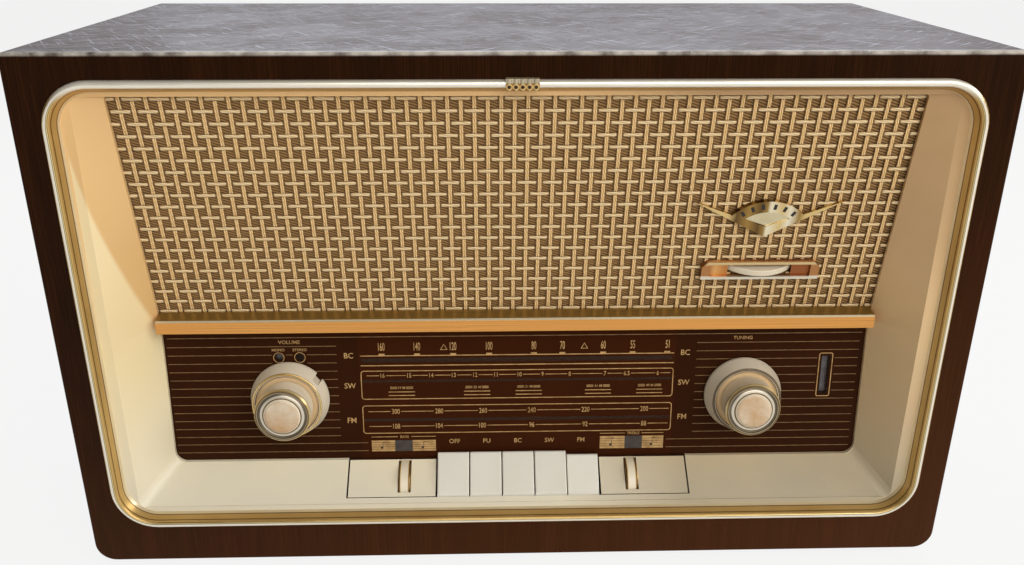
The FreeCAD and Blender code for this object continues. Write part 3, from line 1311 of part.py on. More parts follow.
def key_springs():
    """Comb of leaf springs, one finger under each lever."""
    body = new_body("key_springs")
    bed = floor_height + d.frame_sheet
    leaf, width = d.spring_leaf, d.spring_width
    half = d.key_pitch * len(KEY_NAMES) / 2
    strip = sketch_on(body, lift=bed)
    rectangle(strip, -half, half, d.spring_root, d.frame_back)
    pad(body, strip, leaf)
    arm = d.key_pivot_depth - d.spring_depth
    for name, x, pressed in key_places():
        tip = d.key_lever_bottom - d.spring_gap - leaf
        if pressed:
            tip = tip - arm * tangent(d.key_press_angle)
        finger = sketch_on(body, "YZ_Plane", x - width / 2)
        polygon(finger, [(d.spring_root, bed), (d.spring_root + leaf, bed + leaf),
                         (d.spring_depth + leaf, tip + leaf), (d.spring_depth - leaf, tip + leaf),
                         (d.spring_depth - leaf, tip), (d.spring_depth, tip)])
        pad(body, finger, width)
    keep("key_springs", place(body, ROOM))


# Chassis and the electrical parts on it

def chassis():
    """Folded steel tray, open below."""
    body = new_body("chassis")
    half, steel = d.chassis_half_width, d.chassis_sheet
    outer = sketch_on(body, lift=floor_height)
    rectangle(outer, -half, half, d.chassis_front, chassis_back)
    pad(body, outer, d.chassis_height)
    inner = sketch_on(body, lift=floor_height - d.cut_overrun)
    rectangle(inner, steel - half, half - steel, d.chassis_front + steel, chassis_back - steel)
    pocket(body, inner, d.chassis_height + d.cut_overrun - steel, onward=True)
    keep("chassis", place(body, ROOM))


def transformer(name, x, depth, width, deep, height, coil, inset):
    """Laminated core with its winding standing out at front and back."""
    body = new_body(name)
    core = sketch_on(body)
    rectangle(core, -(width / 2), width / 2, -(deep / 2), deep / 2)
    pad(body, core, height)
    winding = sketch_on(body, lift=inset)
    rectangle(winding, inset - width / 2, width / 2 - inset, -(deep / 2) - coil, deep / 2 + coil)
    pad(body, winding, height - 2 * inset)
    return place(body, ROOM, (x, depth, chassis_top))


def valves():
    glass, base = d.valve_radius, d.valve_base_radius
    points = [(0, 0), (base, 0), (base, d.valve_base_height), (glass, d.valve_base_height),
              (glass, d.valve_base_height + d.valve_height), (0, d.valve_base_height + d.valve_height)]
    pieces = []
    for step in range(VALVES):
        x = d.valve_pitch * (step - (VALVES - 1) / 2) + d.valve_x
        valve = turned("valve", points, ROOM, (x, chassis_back - d.valve_row_inset, chassis_top))
        round_rim(valve, d.valve_dome, d.valve_base_height + d.valve_height)
        pieces.append(valve)
    gathered("valves", pieces)


def filter_capacitors():
    points = [(0, 0), (d.can_radius, 0), (d.can_radius, d.can_height), (0, d.can_height)]
    pieces = []
    for step in range(2):
        at = (d.can_x - d.can_pitch * step, d.chassis_front + d.can_row_inset, chassis_top)
        can = turned("can", points, ROOM, at)
        round_rim(can, d.can_dome, d.can_height)
        pieces.append(can)
    gathered("filter_capacitors", pieces)


def tuning_capacitor():
    """Screened ganged capacitor with its short shaft to the front."""
    body = new_body("tuning_capacitor")
    half, deep = d.gang_width / 2, d.gang_depth / 2
    box = sketch_on(body)
    rectangle(box, -half, half, -deep, deep)
    pad(body, box, d.gang_height)
    shaft = sketch_on(body, "XZ_Plane", deep - d.gang_plate)
    circle(shaft, 0, d.gang_height / 2, d.gang_shaft_radius)
    pad(body, shaft, d.gang_shaft_length)
    soften(body, d.gang_plate, lambda box: near(box.ZMin, d.gang_height) and near(box.ZMax, d.gang_height))
    keep("tuning_capacitor", place(body, ROOM, (d.gang_x, d.chassis_front + d.gang_row_inset, chassis_top)))


def build():
    """Make every sub-part."""
    cabinet_case()
    front_board()
    feet()
    back_cover()
    back_cover_screws()
    side_grilles()
    side_speakers()
    trim_ring()
    trim_clasp()
    escutcheon()
    grille_cloth()
    baffle_board()
    front_speakers()
    badge()
    balance_control()
    divider_bar()
    dial_glass()
    dial_backplate()
    tuning_eye()
    dial_lamps()
    ring_knob("mode_ring", -knob_x, notched=True)
    ring_knob("am_tuning_ring", knob_x, notched=False)
    inner_knob("volume_knob", "volume_bezel", -knob_x)
    inner_knob("fm_tuning_knob", "fm_tuning_bezel", knob_x)
    shafts()
    mode_sleeve()
    volume_pot()
    mode_switch()
    drive_plate()
    drum("am_drum", d.am_plane)
    drum("fm_drum", d.fm_plane)
    dial_cords()
    pointer_rails()
    am_pointer()
    fm_pointer()
    tone_panel("bass_panel", -1)
    tone_panel("treble_panel", 1)
    tone_wheel("bass_wheel", -1)
    tone_wheel("treble_wheel", 1)
    gathered("tone_pots", [tone_pot(-1), tone_pot(1), balance_pot()])
    for name, x, pressed in key_places():
        piano_key(name, x, pressed)
    key_frame()
    key_pivot_rod()
    key_springs()
    chassis()
    keep("power_transformer", transformer("mains", d.mains_x, winding_row, d.mains_width, d.mains_depth,
                                          d.mains_height, d.mains_coil, d.mains_coil_inset))
    outputs = []
    for side in (-1, 1):
        row_place = winding_row + d.output_pitch * side / 2
        outputs.append(transformer("output", d.output_x, row_place, d.output_width, d.output_depth,
                                   d.output_height, d.output_coil, d.output_coil_inset))
    gathered("output_transformers", outputs)
    valves()
    filter_capacitors()
    tuning_capacitor()


def check():
    """Stop if any object failed or any sub-part's shape is unsound."""
    doc.recompute()
    for thing in doc.Objects:
        if "Invalid" in thing.State or "Error" in thing.State:
            raise ValueError(f"{thing.Label} did not compute: {thing.State}")
    for name, thing in parts.items():
        if thing.Shape.isNull() or not thing.Shape.isValid():
            raise ValueError(f"{name} has no sound shape")


build()
check()
os.makedirs("parts", exist_ok=True)
for name, thing in parts.items():
    thing.Shape.exportStep(f"parts/{name}.step")
print(len(parts), "sub-parts written")
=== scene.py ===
import logging
import math
from dataclasses import dataclass, field
from enum import Enum

import bpy
import numpy as np
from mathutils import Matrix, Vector


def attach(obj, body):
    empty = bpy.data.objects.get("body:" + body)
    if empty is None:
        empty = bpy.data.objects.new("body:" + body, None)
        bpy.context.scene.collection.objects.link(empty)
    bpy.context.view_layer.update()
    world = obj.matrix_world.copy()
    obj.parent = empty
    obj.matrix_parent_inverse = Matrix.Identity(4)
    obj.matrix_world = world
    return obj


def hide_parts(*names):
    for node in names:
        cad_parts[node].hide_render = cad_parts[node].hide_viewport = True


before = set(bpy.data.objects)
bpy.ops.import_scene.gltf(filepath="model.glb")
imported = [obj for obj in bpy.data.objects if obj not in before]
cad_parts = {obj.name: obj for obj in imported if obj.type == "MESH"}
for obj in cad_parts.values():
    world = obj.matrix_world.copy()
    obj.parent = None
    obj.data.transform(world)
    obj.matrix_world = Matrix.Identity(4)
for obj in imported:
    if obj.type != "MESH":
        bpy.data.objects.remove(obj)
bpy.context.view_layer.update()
LOG = logging.getLogger("stereo_radio")
MM = 0.001
NODES: dict[str, bpy.types.Object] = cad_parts
Tree = bpy.types.NodeTree
Node = bpy.types.Node
Socket = bpy.types.NodeSocket
Pair = tuple[float, float]
Triple = tuple[float, float, float]
ACROSS: Triple = (1.0, 0.0, 0.0)
MODE_WINDOWS: tuple[Pair, Pair] = ((-170.5, 30.9), (-155.6, 30.9))


# Small tools

def linear(colour: str) -> tuple[float, float, float, float]:
    """Turn an sRGB hex colour into linear RGBA.

    Args:
        colour: a hash and six hex digits.

    Returns:
        The linear red, green, blue and a full alpha.
    """
    shares = [int(colour[start:start + 2], 16) / 255 for start in (1, 3, 5)]
    red, green, blue = (s / 12.92 if s <= 0.04045 else ((s + 0.055) / 1.055) ** 2.4 for s in shares)
    return red, green, blue, 1.0


def feed(tree: Tree, node: Node, inputs: dict) -> None:
    """Set or link a node's inputs.

    Args:
        tree: the tree that holds the node.
        node: the node that is fed.
        inputs: by name or number, a plain value, a socket, or a node that stands for its first open output.
    """
    for name, value in inputs.items():
        if isinstance(value, Node):
            value = next(output for output in value.outputs if output.enabled)
        if isinstance(value, Socket):
            tree.links.new(value, node.inputs[name])
        else:
            node.inputs[name].default_value = value


def add_node(tree: Tree, kind: str, inputs: dict | None = None, **settings: object) -> Node:
    """Add a shader node with its settings, values and incoming links.

    Args:
        tree: the tree that gets the node.
        kind: Blender's name of the node type without ShaderNode before it.
        inputs: as in feed.
        settings: properties of the node; stops sets a colour ramp's stops.

    Returns:
        The new node.
    """
    node = tree.nodes.new("ShaderNode" + kind)
    stops = settings.pop("stops", ())
    for name, value in settings.items():
        setattr(node, name, value)
    for number, (place, colour) in enumerate(stops):
        elements = node.color_ramp.elements
        element = elements[number] if number < 2 else elements.new(place)
        element.position = place
        element.color = linear(colour)
    feed(tree, node, inputs or {})
    return node


def banded(tree: Tree, source: Node, low: float, high: float, stops: list) -> Node:
    """Colour a surface in bands by a distance.

    Args:
        tree: the material's tree.
        source: the node that carries the distance in metres.
        low: the distance where the bands start, in millimetres.
        high: the distance where they end.
        stops: (share of the way, colour) pairs.

    Returns:
        The node that carries the colour.
    """
    share = add_node(tree, "MapRange", {0: source, "From Min": low * MM, "From Max": high * MM})
    return add_node(tree, "ValToRGB", {0: share}, stops=stops)


@dataclass(frozen=True)
class Face:
    """A leaning face of the set, measured in millimetres across, up and out from its origin."""

    origin: Triple
    up: Triple
    out: Triple

    def points(self, across: np.ndarray, up: np.ndarray, out: np.ndarray) -> np.ndarray:
        """Turn places on the face into points of the set.

        Args:
            across: distances to the right.
            up: distances up the face.
            out: distances out of the face.

        Returns:
            The points, one row each, in metres.
        """
        across, up, out = np.broadcast_arrays(across, up, out)
        flat = np.stack([across.ravel(), up.ravel(), out.ravel()], axis=1) * MM
        return flat @ np.array([ACROSS, self.up, self.out]) + np.array(self.origin)

    def level(self, tree: Tree, place: Socket, axis: Triple) -> Node:
        """Give the distance from the origin along an axis, in metres.

        Args:
            tree: the material's tree.
            place: object coordinates in metres.
            axis: the direction to measure along.

        Returns:
            The node that carries the distance.
        """
        offset = -sum(a * b for a, b in zip(axis, self.origin))
        along = add_node(tree, "VectorMath", {0: place, 1: axis}, operation="DOT_PRODUCT")
        return add_node(tree, "Math", {0: along, 1: offset}, operation="ADD")

    def reach(self, tree: Tree, place: Socket, middle: float) -> Node:
        """Give the distance from an axis that stands out of the face at its origin's height, in metres.

        Args:
            tree: the material's tree.
            place: object coordinates in metres.
            middle: the axis's place across the face, in millimetres.

        Returns:
            The node that carries the distance.
        """
        spot = add_node(tree, "CombineXYZ", {"X": self.level(tree, place, ACROSS),
                                             "Y": self.level(tree, place, self.up)})
        return add_node(tree, "VectorMath", {0: spot, 1: (middle * MM, 0.0, 0.0)}, operation="DISTANCE")


def leaning(depth_y: float, height: float, degrees: float) -> Face:
    """Make a face that is turned back from the floor by an angle.

    Args:
        depth_y: the origin's y in metres.
        height: the origin's height in metres.
        degrees: the turn about the x axis that lifts the flat face.

    Returns:
        The face.
    """
    turn = math.radians(degrees)
    return Face((0.0, depth_y, height), (0.0, math.cos(turn), math.sin(turn)),
                (0.0, -math.sin(turn), math.cos(turn)))


DIAL = leaning(-0.102572, 0.1174, 85.0)
GRILLE = leaning(-0.13255, 0.3412, 101.9)
APRON = leaning(-0.13705, 0.048375, 36.0)


class Draft:
    """Gathers the points and faces of one piece before it becomes an object."""

    def __init__(self) -> None:
        """Start empty."""
        self.blocks: list[np.ndarray] = []
        self.faces: list[tuple[int, ...]] = []
        self.count = 0

    def add(self, points: np.ndarray, faces: list) -> None:
        """Add a block of points with its faces.

        Args:
            points: points in metres, one row each.
            faces: point numbers of each face, counted from this block's first point.
        """
        start = self.count
        self.blocks.append(np.asarray(points, float))
        self.faces += [tuple(int(n) + start for n in face) for face in faces]
        self.count += len(points)

    def slab(self, face: Face, across: tuple, up: tuple, out: tuple) -> None:
        """Add a box that lies on a face.

        Args:
            face: the face that carries it.
            across: its left and right edge in millimetres.
            up: its lower and upper edge.
            out: its back and front.
        """
        x, y, z = np.meshgrid(across, up, out, indexing="ij")
        sides = [(0, 1, 3, 2), (4, 6, 7, 5), (0, 4, 5, 1), (2, 3, 7, 6), (0, 2, 6, 4), (1, 5, 7, 3)]
        self.add(face.points(x, y, z), sides)

    def loops(self, rings: np.ndarray, closed_ends: bool) -> None:
        """Add a skin over closed rings of points.

        Args:
            rings: points of each ring, in metres, as rings by points by three.
            closed_ends: whether the first and last ring are filled.
        """
        count, size = rings.shape[:2]
        first = np.arange(count - 1)[:, None] * size + np.arange(size)[None, :]
        second = np.arange(count - 1)[:, None] * size + (np.arange(size)[None, :] + 1) % size
        quads = np.stack([first, second, second + size, first + size], axis=-1).reshape(-1, 4).tolist()
        if closed_ends:
            quads.append(list(range(size))[::-1])
            quads.append(list(range((count - 1) * size, count * size)))
        self.add(rings.reshape(-1, 3), quads)

    def turned(self, face: Face, centre: Pair, profile: tuple, around: int) -> None:
        """Add a ring turned about an axis that stands out of a face.

        Args:
            face: the face that the axis stands on.
            centre: the axis's place across and up the face, in millimetres.
            profile: closed outline as (radius, distance out) pairs.
            around: number of steps round the axis.
        """
        turn = np.linspace(0, 2 * math.pi, around, endpoint=False)
        radius = np.array([point[0] for point in profile])[:, None]
        out = np.array([point[1] for point in profile])[:, None]
        points = face.points(centre[0] + radius * np.cos(turn), centre[1] + radius * np.sin(turn), out)
        rings = points.reshape(len(profile), around, 3)
        self.loops(np.concatenate([rings, rings[:1]]), closed_ends=False)

    def piece(self, name: str, finish: "Finish", body: str, slot: str, smooth: bool) -> bpy.types.Object:
        """Turn the draft into an object of the set.

        Args:
            name: the piece's name.
            finish: its surface.
            body: the body it rides on.
            slot: the record's material slot; not used.
            smooth: whether its faces are shaded smooth.

        Returns:
            The object.
        """
        mesh = bpy.data.meshes.new(name)
        mesh.from_pydata(np.concatenate(self.blocks).tolist(), [], self.faces)
        mesh.validate()
        mesh.polygons.foreach_set("use_smooth", [smooth] * len(mesh.polygons))
        mesh.materials.append(finish.material())
        thing = bpy.data.objects.new(name, mesh)
        bpy.context.scene.collection.objects.link(thing)
        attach(thing, body)
        LOG.info("%s: %d faces on %s", name, len(mesh.polygons), body)
        return thing


def letters(text: str, height: float, width_share: float) -> tuple[np.ndarray, list]:
    """Draw plain capital letters or figures.

    Args:
        text: what is drawn.
        height: height of the capitals in millimetres.
        width_share: how wide the letters are against the plain face's own width.

    Returns:
        Points in millimetres about the middle, with 0 or 1 as their third number, and the faces.
    """
    curve = bpy.data.curves.new("letters", "FONT")
    curve.body = text
    curve.extrude = 0.5
    curve.resolution_u = 3
    curve.offset = 0.008
    holder = bpy.data.objects.new("letters", curve)
    mesh = bpy.data.meshes.new_from_object(holder)
    points = np.empty(len(mesh.vertices) * 3)
    mesh.vertices.foreach_get("co", points)
    points = points.reshape(-1, 3)
    faces = [tuple(face.vertices) for face in mesh.polygons]
    low, high = points.min(0), points.max(0)
    scale = height / (high[1] - low[1])
    points = (points - (low + high) / 2) * np.array([scale * width_share, scale, 1.0])
    points[:, 2] = (points[:, 2] > 0).astype(float)
    bpy.data.objects.remove(holder)
    bpy.data.curves.remove(curve)
    bpy.data.meshes.remove(mesh)
    return points, faces


# Finishes

class Brush(Enum):
    """How a metal's surface was worked."""

    POLISHED = "polished"
    PLATED = "dull plated"


@dataclass(frozen=True)
class Finish:
    """A surface: what it is made of and how it was made."""

    name: str

    def material(self) -> bpy.types.Material:
        """Make the finish's material on first use.

        Returns:
            The material.
        """
        ready = bpy.data.materials.get(self.name)
        if ready:
            return ready
        material = bpy.data.materials.new(self.name)
        material.use_nodes = True
        tree = material.node_tree
        self.shade(tree, tree.nodes["Principled BSDF"], add_node(tree, "TexCoord").outputs["Object"])
        return material

    def shade(self, tree: Tree, shader: Node, place: Socket) -> None:
        """Wire the surface; each finish has its own.

        Args:
            tree: the material's tree.
            shader: its principled shader.
            place: object coordinates in metres.
        """
        raise NotImplementedError

    def dress(self, *names: str) -> None:
        """Give solids of the set this finish.

        Args:
            names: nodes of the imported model.
        """
        for name in names:
            mesh = NODES[name].data
            mesh.materials.clear()
            mesh.materials.append(self.material())
            LOG.info("%s: %s", name, self.name)


@dataclass(frozen=True)
class LacqueredWalnut(Finish):
    """Walnut veneer, stained dark and sprayed with gloss lacquer.

    The eye sees fine pores along the grain, slow colour bands, a wet shine and painted light on the lower
    right; on the top a greyer tone, a pale painted reflection, scuffs, scratches and a pale front edge,
    partly rubbed and partly a painted highlight. Sizes are width and length of a pattern in millimetres.
    """

    dark: str = "#120804"
    middle: str = "#1d0d06"
    light: str = "#2d160a"
    # Painted light: the tone that the lower right of the wood is lightened towards.
    painted_light_tone: str = "#4f2b12"
    # Pale front edge of the top: partly rubbed wood, partly a painted highlight.
    rubbed: str = "#d2ccc2"
    # Painted reflection on level faces: a greyer top tone and a pale sheen of the room.
    painted_sheen: str = "#c4cad8"
    top: str = "#4e3b30"
    sheen: str = "#c98a58"
    band_size: Pair = (16.0, 420.0)
    pore_size: Pair = (0.9, 45.0)
    pore_share: float = 0.62
    pore_depth: float = 0.3
    painted_light_slant: Triple = (0.35, 0.0, -1.25)
    scuff_size: Pair = (2.6, 16.0)
    scratch_size: Pair = (1.3, 45.0)
    scratch_turns: Pair = (0.55, -0.75)
    cloud_size: float = 71.43
    chip_size: float = 11.11
    top_height: float = 368.0
    front: float = -142.05
    half_width: float = 300.0
    painted_sheen_depth: Pair = (5.0, 110.0)
    edge_drop: Pair = (2.6, 1.4)
    edge_depth: Pair = (7.0, 3.0)
    level_facing: float = 0.6

    def grain(self, tree: Tree, place: Socket, level: Node, size: Pair) -> Node:
        """Stretch the coordinates along the grain: level on the top, upright elsewhere.

        Args:
            tree: the material's tree.
            place: object coordinates in metres.
            level: the node that tells level faces.
            size: width and length of the pattern in millimetres.

        Returns:
            The node that carries the coordinates.
        """
        fine, far = (1 / (length * MM) for length in size)
        flat = add_node(tree, "VectorMath", {0: place, 1: (far, fine, fine)}, operation="MULTIPLY")
        upright = add_node(tree, "VectorMath", {0: place, 1: (fine, fine, far)}, operation="MULTIPLY")
        return add_node(tree, "Mix", {0: level, 4: upright, 5: flat}, data_type="VECTOR")

    def top_scratches_and_sheen(self, tree: Tree, place: Socket, scuffs: Node, cloud: Node) -> Node:
        """Give the share of painted sheen on scuffs and haze and of scratches, coarse as the top is seen so
        flat.

        Args:
            tree: the material's tree.
            place: object coordinates in metres.
            scuffs: the node with the scuffs' noise.
            cloud: the node with the haze's noise.

        Returns:
            The node that carries the share.
        """
        split = add_node(tree, "SeparateXYZ", {0: place})
        # Painted reflection: pale streaks along the scuffs and a faint haze.
        painted_streaks = add_node(tree, "MapRange", {0: scuffs, "From Min": 0.52, "From Max": 0.62, "To Max": 0.4})
        painted_haze = add_node(tree, "MapRange", {0: cloud, "From Min": 0.35, "From Max": 0.65, "To Max": 0.12})
        marks = add_node(tree, "Math", {0: painted_streaks, 1: painted_haze}, operation="MAXIMUM")
        # Painted reflection: stronger towards the back and the left.
        near, far = (self.front + depth for depth in self.painted_sheen_depth)
        for axis, first, last, low, high in (("Y", near, far, 0.6, 1.0),
                                             ("X", -self.half_width, self.half_width, 1.2, 0.8)):
            share = add_node(tree, "MapRange", {0: split.outputs[axis], "From Min": first * MM,
                                                "From Max": last * MM, "To Min": low, "To Max": high})
            marks = add_node(tree, "Math", {0: marks, 1: share}, operation="MULTIPLY")
        width, length = self.scratch_size
        for turn in self.scratch_turns:
            skewed = add_node(tree, "Mapping", {"Vector": place, "Rotation": (0.0, 0.0, turn),
                                                "Scale": (width * MM, length * MM, MM)},
                              vector_type="TEXTURE")
            hair = add_node(tree, "TexNoise", {"Vector": skewed, "Scale": 1.0, "Detail": 1.0})
            scratch = add_node(tree, "MapRange", {0: hair, "From Min": 0.66, "From Max": 0.71})
            marks = add_node(tree, "Math", {0: marks, 1: scratch}, operation="MAXIMUM")
        return marks

    def rubbed_and_lit_edge(self, tree: Tree, place: Socket) -> Node:
        """Give the share of pale front edge along the top, partly rubbed wood and partly a painted
        highlight.

        Args:
            tree: the material's tree.
            place: object coordinates in metres.

        Returns:
            The node that carries the share.
        """
        split = add_node(tree, "SeparateXYZ", {0: place})
        chips = add_node(tree, "TexNoise", {"Vector": place, "Scale": 1 / (self.chip_size * MM),
                                            "Detail": 4.0})
        edge = add_node(tree, "MapRange", {0: chips, "From Min": 0.25, "From Max": 0.6, "To Max": 0.8})
        for axis, limits in (("Z", [self.top_height - drop for drop in self.edge_drop]),
                             ("Y", [self.front + depth for depth in self.edge_depth])):
            near = add_node(tree, "MapRange", {0: split.outputs[axis], "From Min": limits[0] * MM,
                                               "From Max": limits[1] * MM})
            edge = add_node(tree, "Math", {0: edge, 1: near}, operation="MULTIPLY")
        return edge

    def shade(self, tree: Tree, shader: Node, place: Socket) -> None:
        """Wire grain, fading, scratches and wear.

        Args:
            tree: the material's tree.
            shader: its principled shader.
            place: object coordinates in metres.
        """
        normal = add_node(tree, "SeparateXYZ", {0: add_node(tree, "NewGeometry").outputs["Normal"]})
        level = add_node(tree, "Math", {0: normal.outputs["Z"], 1: self.level_facing},
                         operation="GREATER_THAN")
        bands = add_node(tree, "TexNoise", {"Vector": self.grain(tree, place, level, self.band_size),
                                            "Scale": 1.0, "Detail": 3.0})
        pores = add_node(tree, "TexNoise", {"Vector": self.grain(tree, place, level, self.pore_size),
                                            "Scale": 1.0, "Detail": 2.0})
        blend = add_node(tree, "Mix", {0: self.pore_share, 2: bands, 3: pores})
        wood = add_node(tree, "ValToRGB", {0: blend},
                        stops=[(0.36, self.dark), (0.5, self.middle), (0.64, self.light)])
        # Painted light: the lower part is lightened, most at the right-hand end, where the light falls.
        slant = add_node(tree, "VectorMath", {0: place, 1: self.painted_light_slant}, operation="DOT_PRODUCT")
        painted_light_share = add_node(tree, "MapRange", {0: slant, "From Min": -0.4, "From Max": 0.1, "To Max": 0.5},
                        interpolation_type="SMOOTHSTEP")
        colour = add_node(tree, "Mix", {0: painted_light_share, 6: wood, 7: linear(self.painted_light_tone)}, data_type="RGBA",
                          blend_type="SCREEN")
        scuffs = add_node(tree, "TexNoise", {"Vector": self.grain(tree, place, level, self.scuff_size),
                                             "Scale": 1.0, "Detail": 4.0, "Roughness": 0.65})
        cloud = add_node(tree, "TexNoise", {"Vector": place, "Scale": 1 / (self.cloud_size * MM),
                                            "Detail": 3.0})
        marks = add_node(tree, "Math", {0: self.top_scratches_and_sheen(tree, place, scuffs, cloud), 1: level},
                         operation="MULTIPLY")
        # Painted light: level faces take the greyer top tone and the pale painted reflection; the top's
        # front edge takes its pale tone, partly rubbed and partly a painted highlight.
        for share, tone in ((level, self.top), (marks, self.painted_sheen),
                            (self.rubbed_and_lit_edge(tree, place), self.rubbed)):
            colour = add_node(tree, "Mix", {0: share, 6: colour, 7: linear(tone)}, data_type="RGBA")
        dull = add_node(tree, "MapRange", {0: cloud, "From Min": 0.3, "From Max": 0.7,
                                           "To Min": 0.16, "To Max": 0.36})
        bump = add_node(tree, "Bump", {"Height": pores, "Strength": 0.1, "Distance": self.pore_depth * MM})
        # The top's lacquer mirrors the room at a flat angle, broken up by the same scuffs.
        glare = add_node(tree, "MapRange", {0: scuffs, "From Min": 0.47, "From Max": 0.6,
                                            "To Min": 0.06, "To Max": 0.5})
        coat = add_node(tree, "Math", {0: glare, 1: level}, operation="MULTIPLY")
        feed(tree, shader, {"Base Color": colour, "Roughness": dull, "Normal": bump, "Coat Weight": coat,
                            "Coat Roughness": 0.2, "IOR": 1.5, "Specular IOR Level": 0.2,
                            "Specular Tint": linear(self.sheen)})


@dataclass(frozen=True)
class MouldedPlastic(Finish):
    """Pressed thermoplastic or urea, polished by its mould and a little yellowed and handled.

    The eye sees a soft even shine, a slow drift of tint, and brown in the creases, dirt and painted shade.
    """

    base: str = "#e2d2ae"
    drift: str = "#d5c193"
    dirt_and_shade: str = "#6a4a26"
    dirt_and_shade_share: float = 0.5
    dirt_and_shade_reach: float = 7.0
    roughness: float = 0.34
    drift_size: float = 60.0
    dirt_size: float = 4.545
    speck_size: float = 0.9
    speck_depth: float = 0.2

    def tint(self, tree: Tree, place: Socket) -> Node:
        """Give the colour before the creases' dirt and painted shade.

        Args:
            tree: the material's tree.
            place: object coordinates in metres.

        Returns:
            The node that carries the colour.
        """
        slow = add_node(tree, "TexNoise", {"Vector": place, "Scale": 1 / (self.drift_size * MM),
                                           "Detail": 3.0})
        return add_node(tree, "ValToRGB", {0: slow}, stops=[(0.35, self.base), (0.7, self.drift)])

    def shade(self, tree: Tree, shader: Node, place: Socket) -> None:
        """Wire tint, the creases' dirt and painted shade, and shine.

        Args:
            tree: the material's tree.
            shader: its principled shader.
            place: object coordinates in metres.
        """
        # Dirt and painted shade: brown where the creases shut out light, broken up unevenly.
        creases = add_node(tree, "AmbientOcclusion", {"Distance": self.dirt_and_shade_reach * MM}, samples=8)
        uneven = add_node(tree, "TexNoise", {"Vector": place, "Scale": 1 / (self.dirt_size * MM),
                                             "Detail": 3.0})
        crease_dirt_and_shade = add_node(tree, "MapRange", {0: creases.outputs["AO"], "From Min": 0.55, "From Max": 0.12,
                                           "To Max": self.dirt_and_shade_share})
        broken = add_node(tree, "Math", {0: crease_dirt_and_shade, 1: uneven}, operation="MULTIPLY")
        colour = add_node(tree, "Mix", {0: broken, 6: self.tint(tree, place), 7: linear(self.dirt_and_shade)},
                          data_type="RGBA")
        shine = add_node(tree, "MapRange", {0: uneven, "To Min": self.roughness - 0.06,
                                            "To Max": self.roughness + 0.1})
        skin = add_node(tree, "TexNoise", {"Vector": place, "Scale": 1 / (self.speck_size * MM),
                                           "Detail": 2.0})
        bump = add_node(tree, "Bump", {"Height": skin, "Strength": 0.04, "Distance": self.speck_depth * MM})
        feed(tree, shader, {"Base Color": colour, "Roughness": shine, "Normal": bump, "IOR": 1.5})


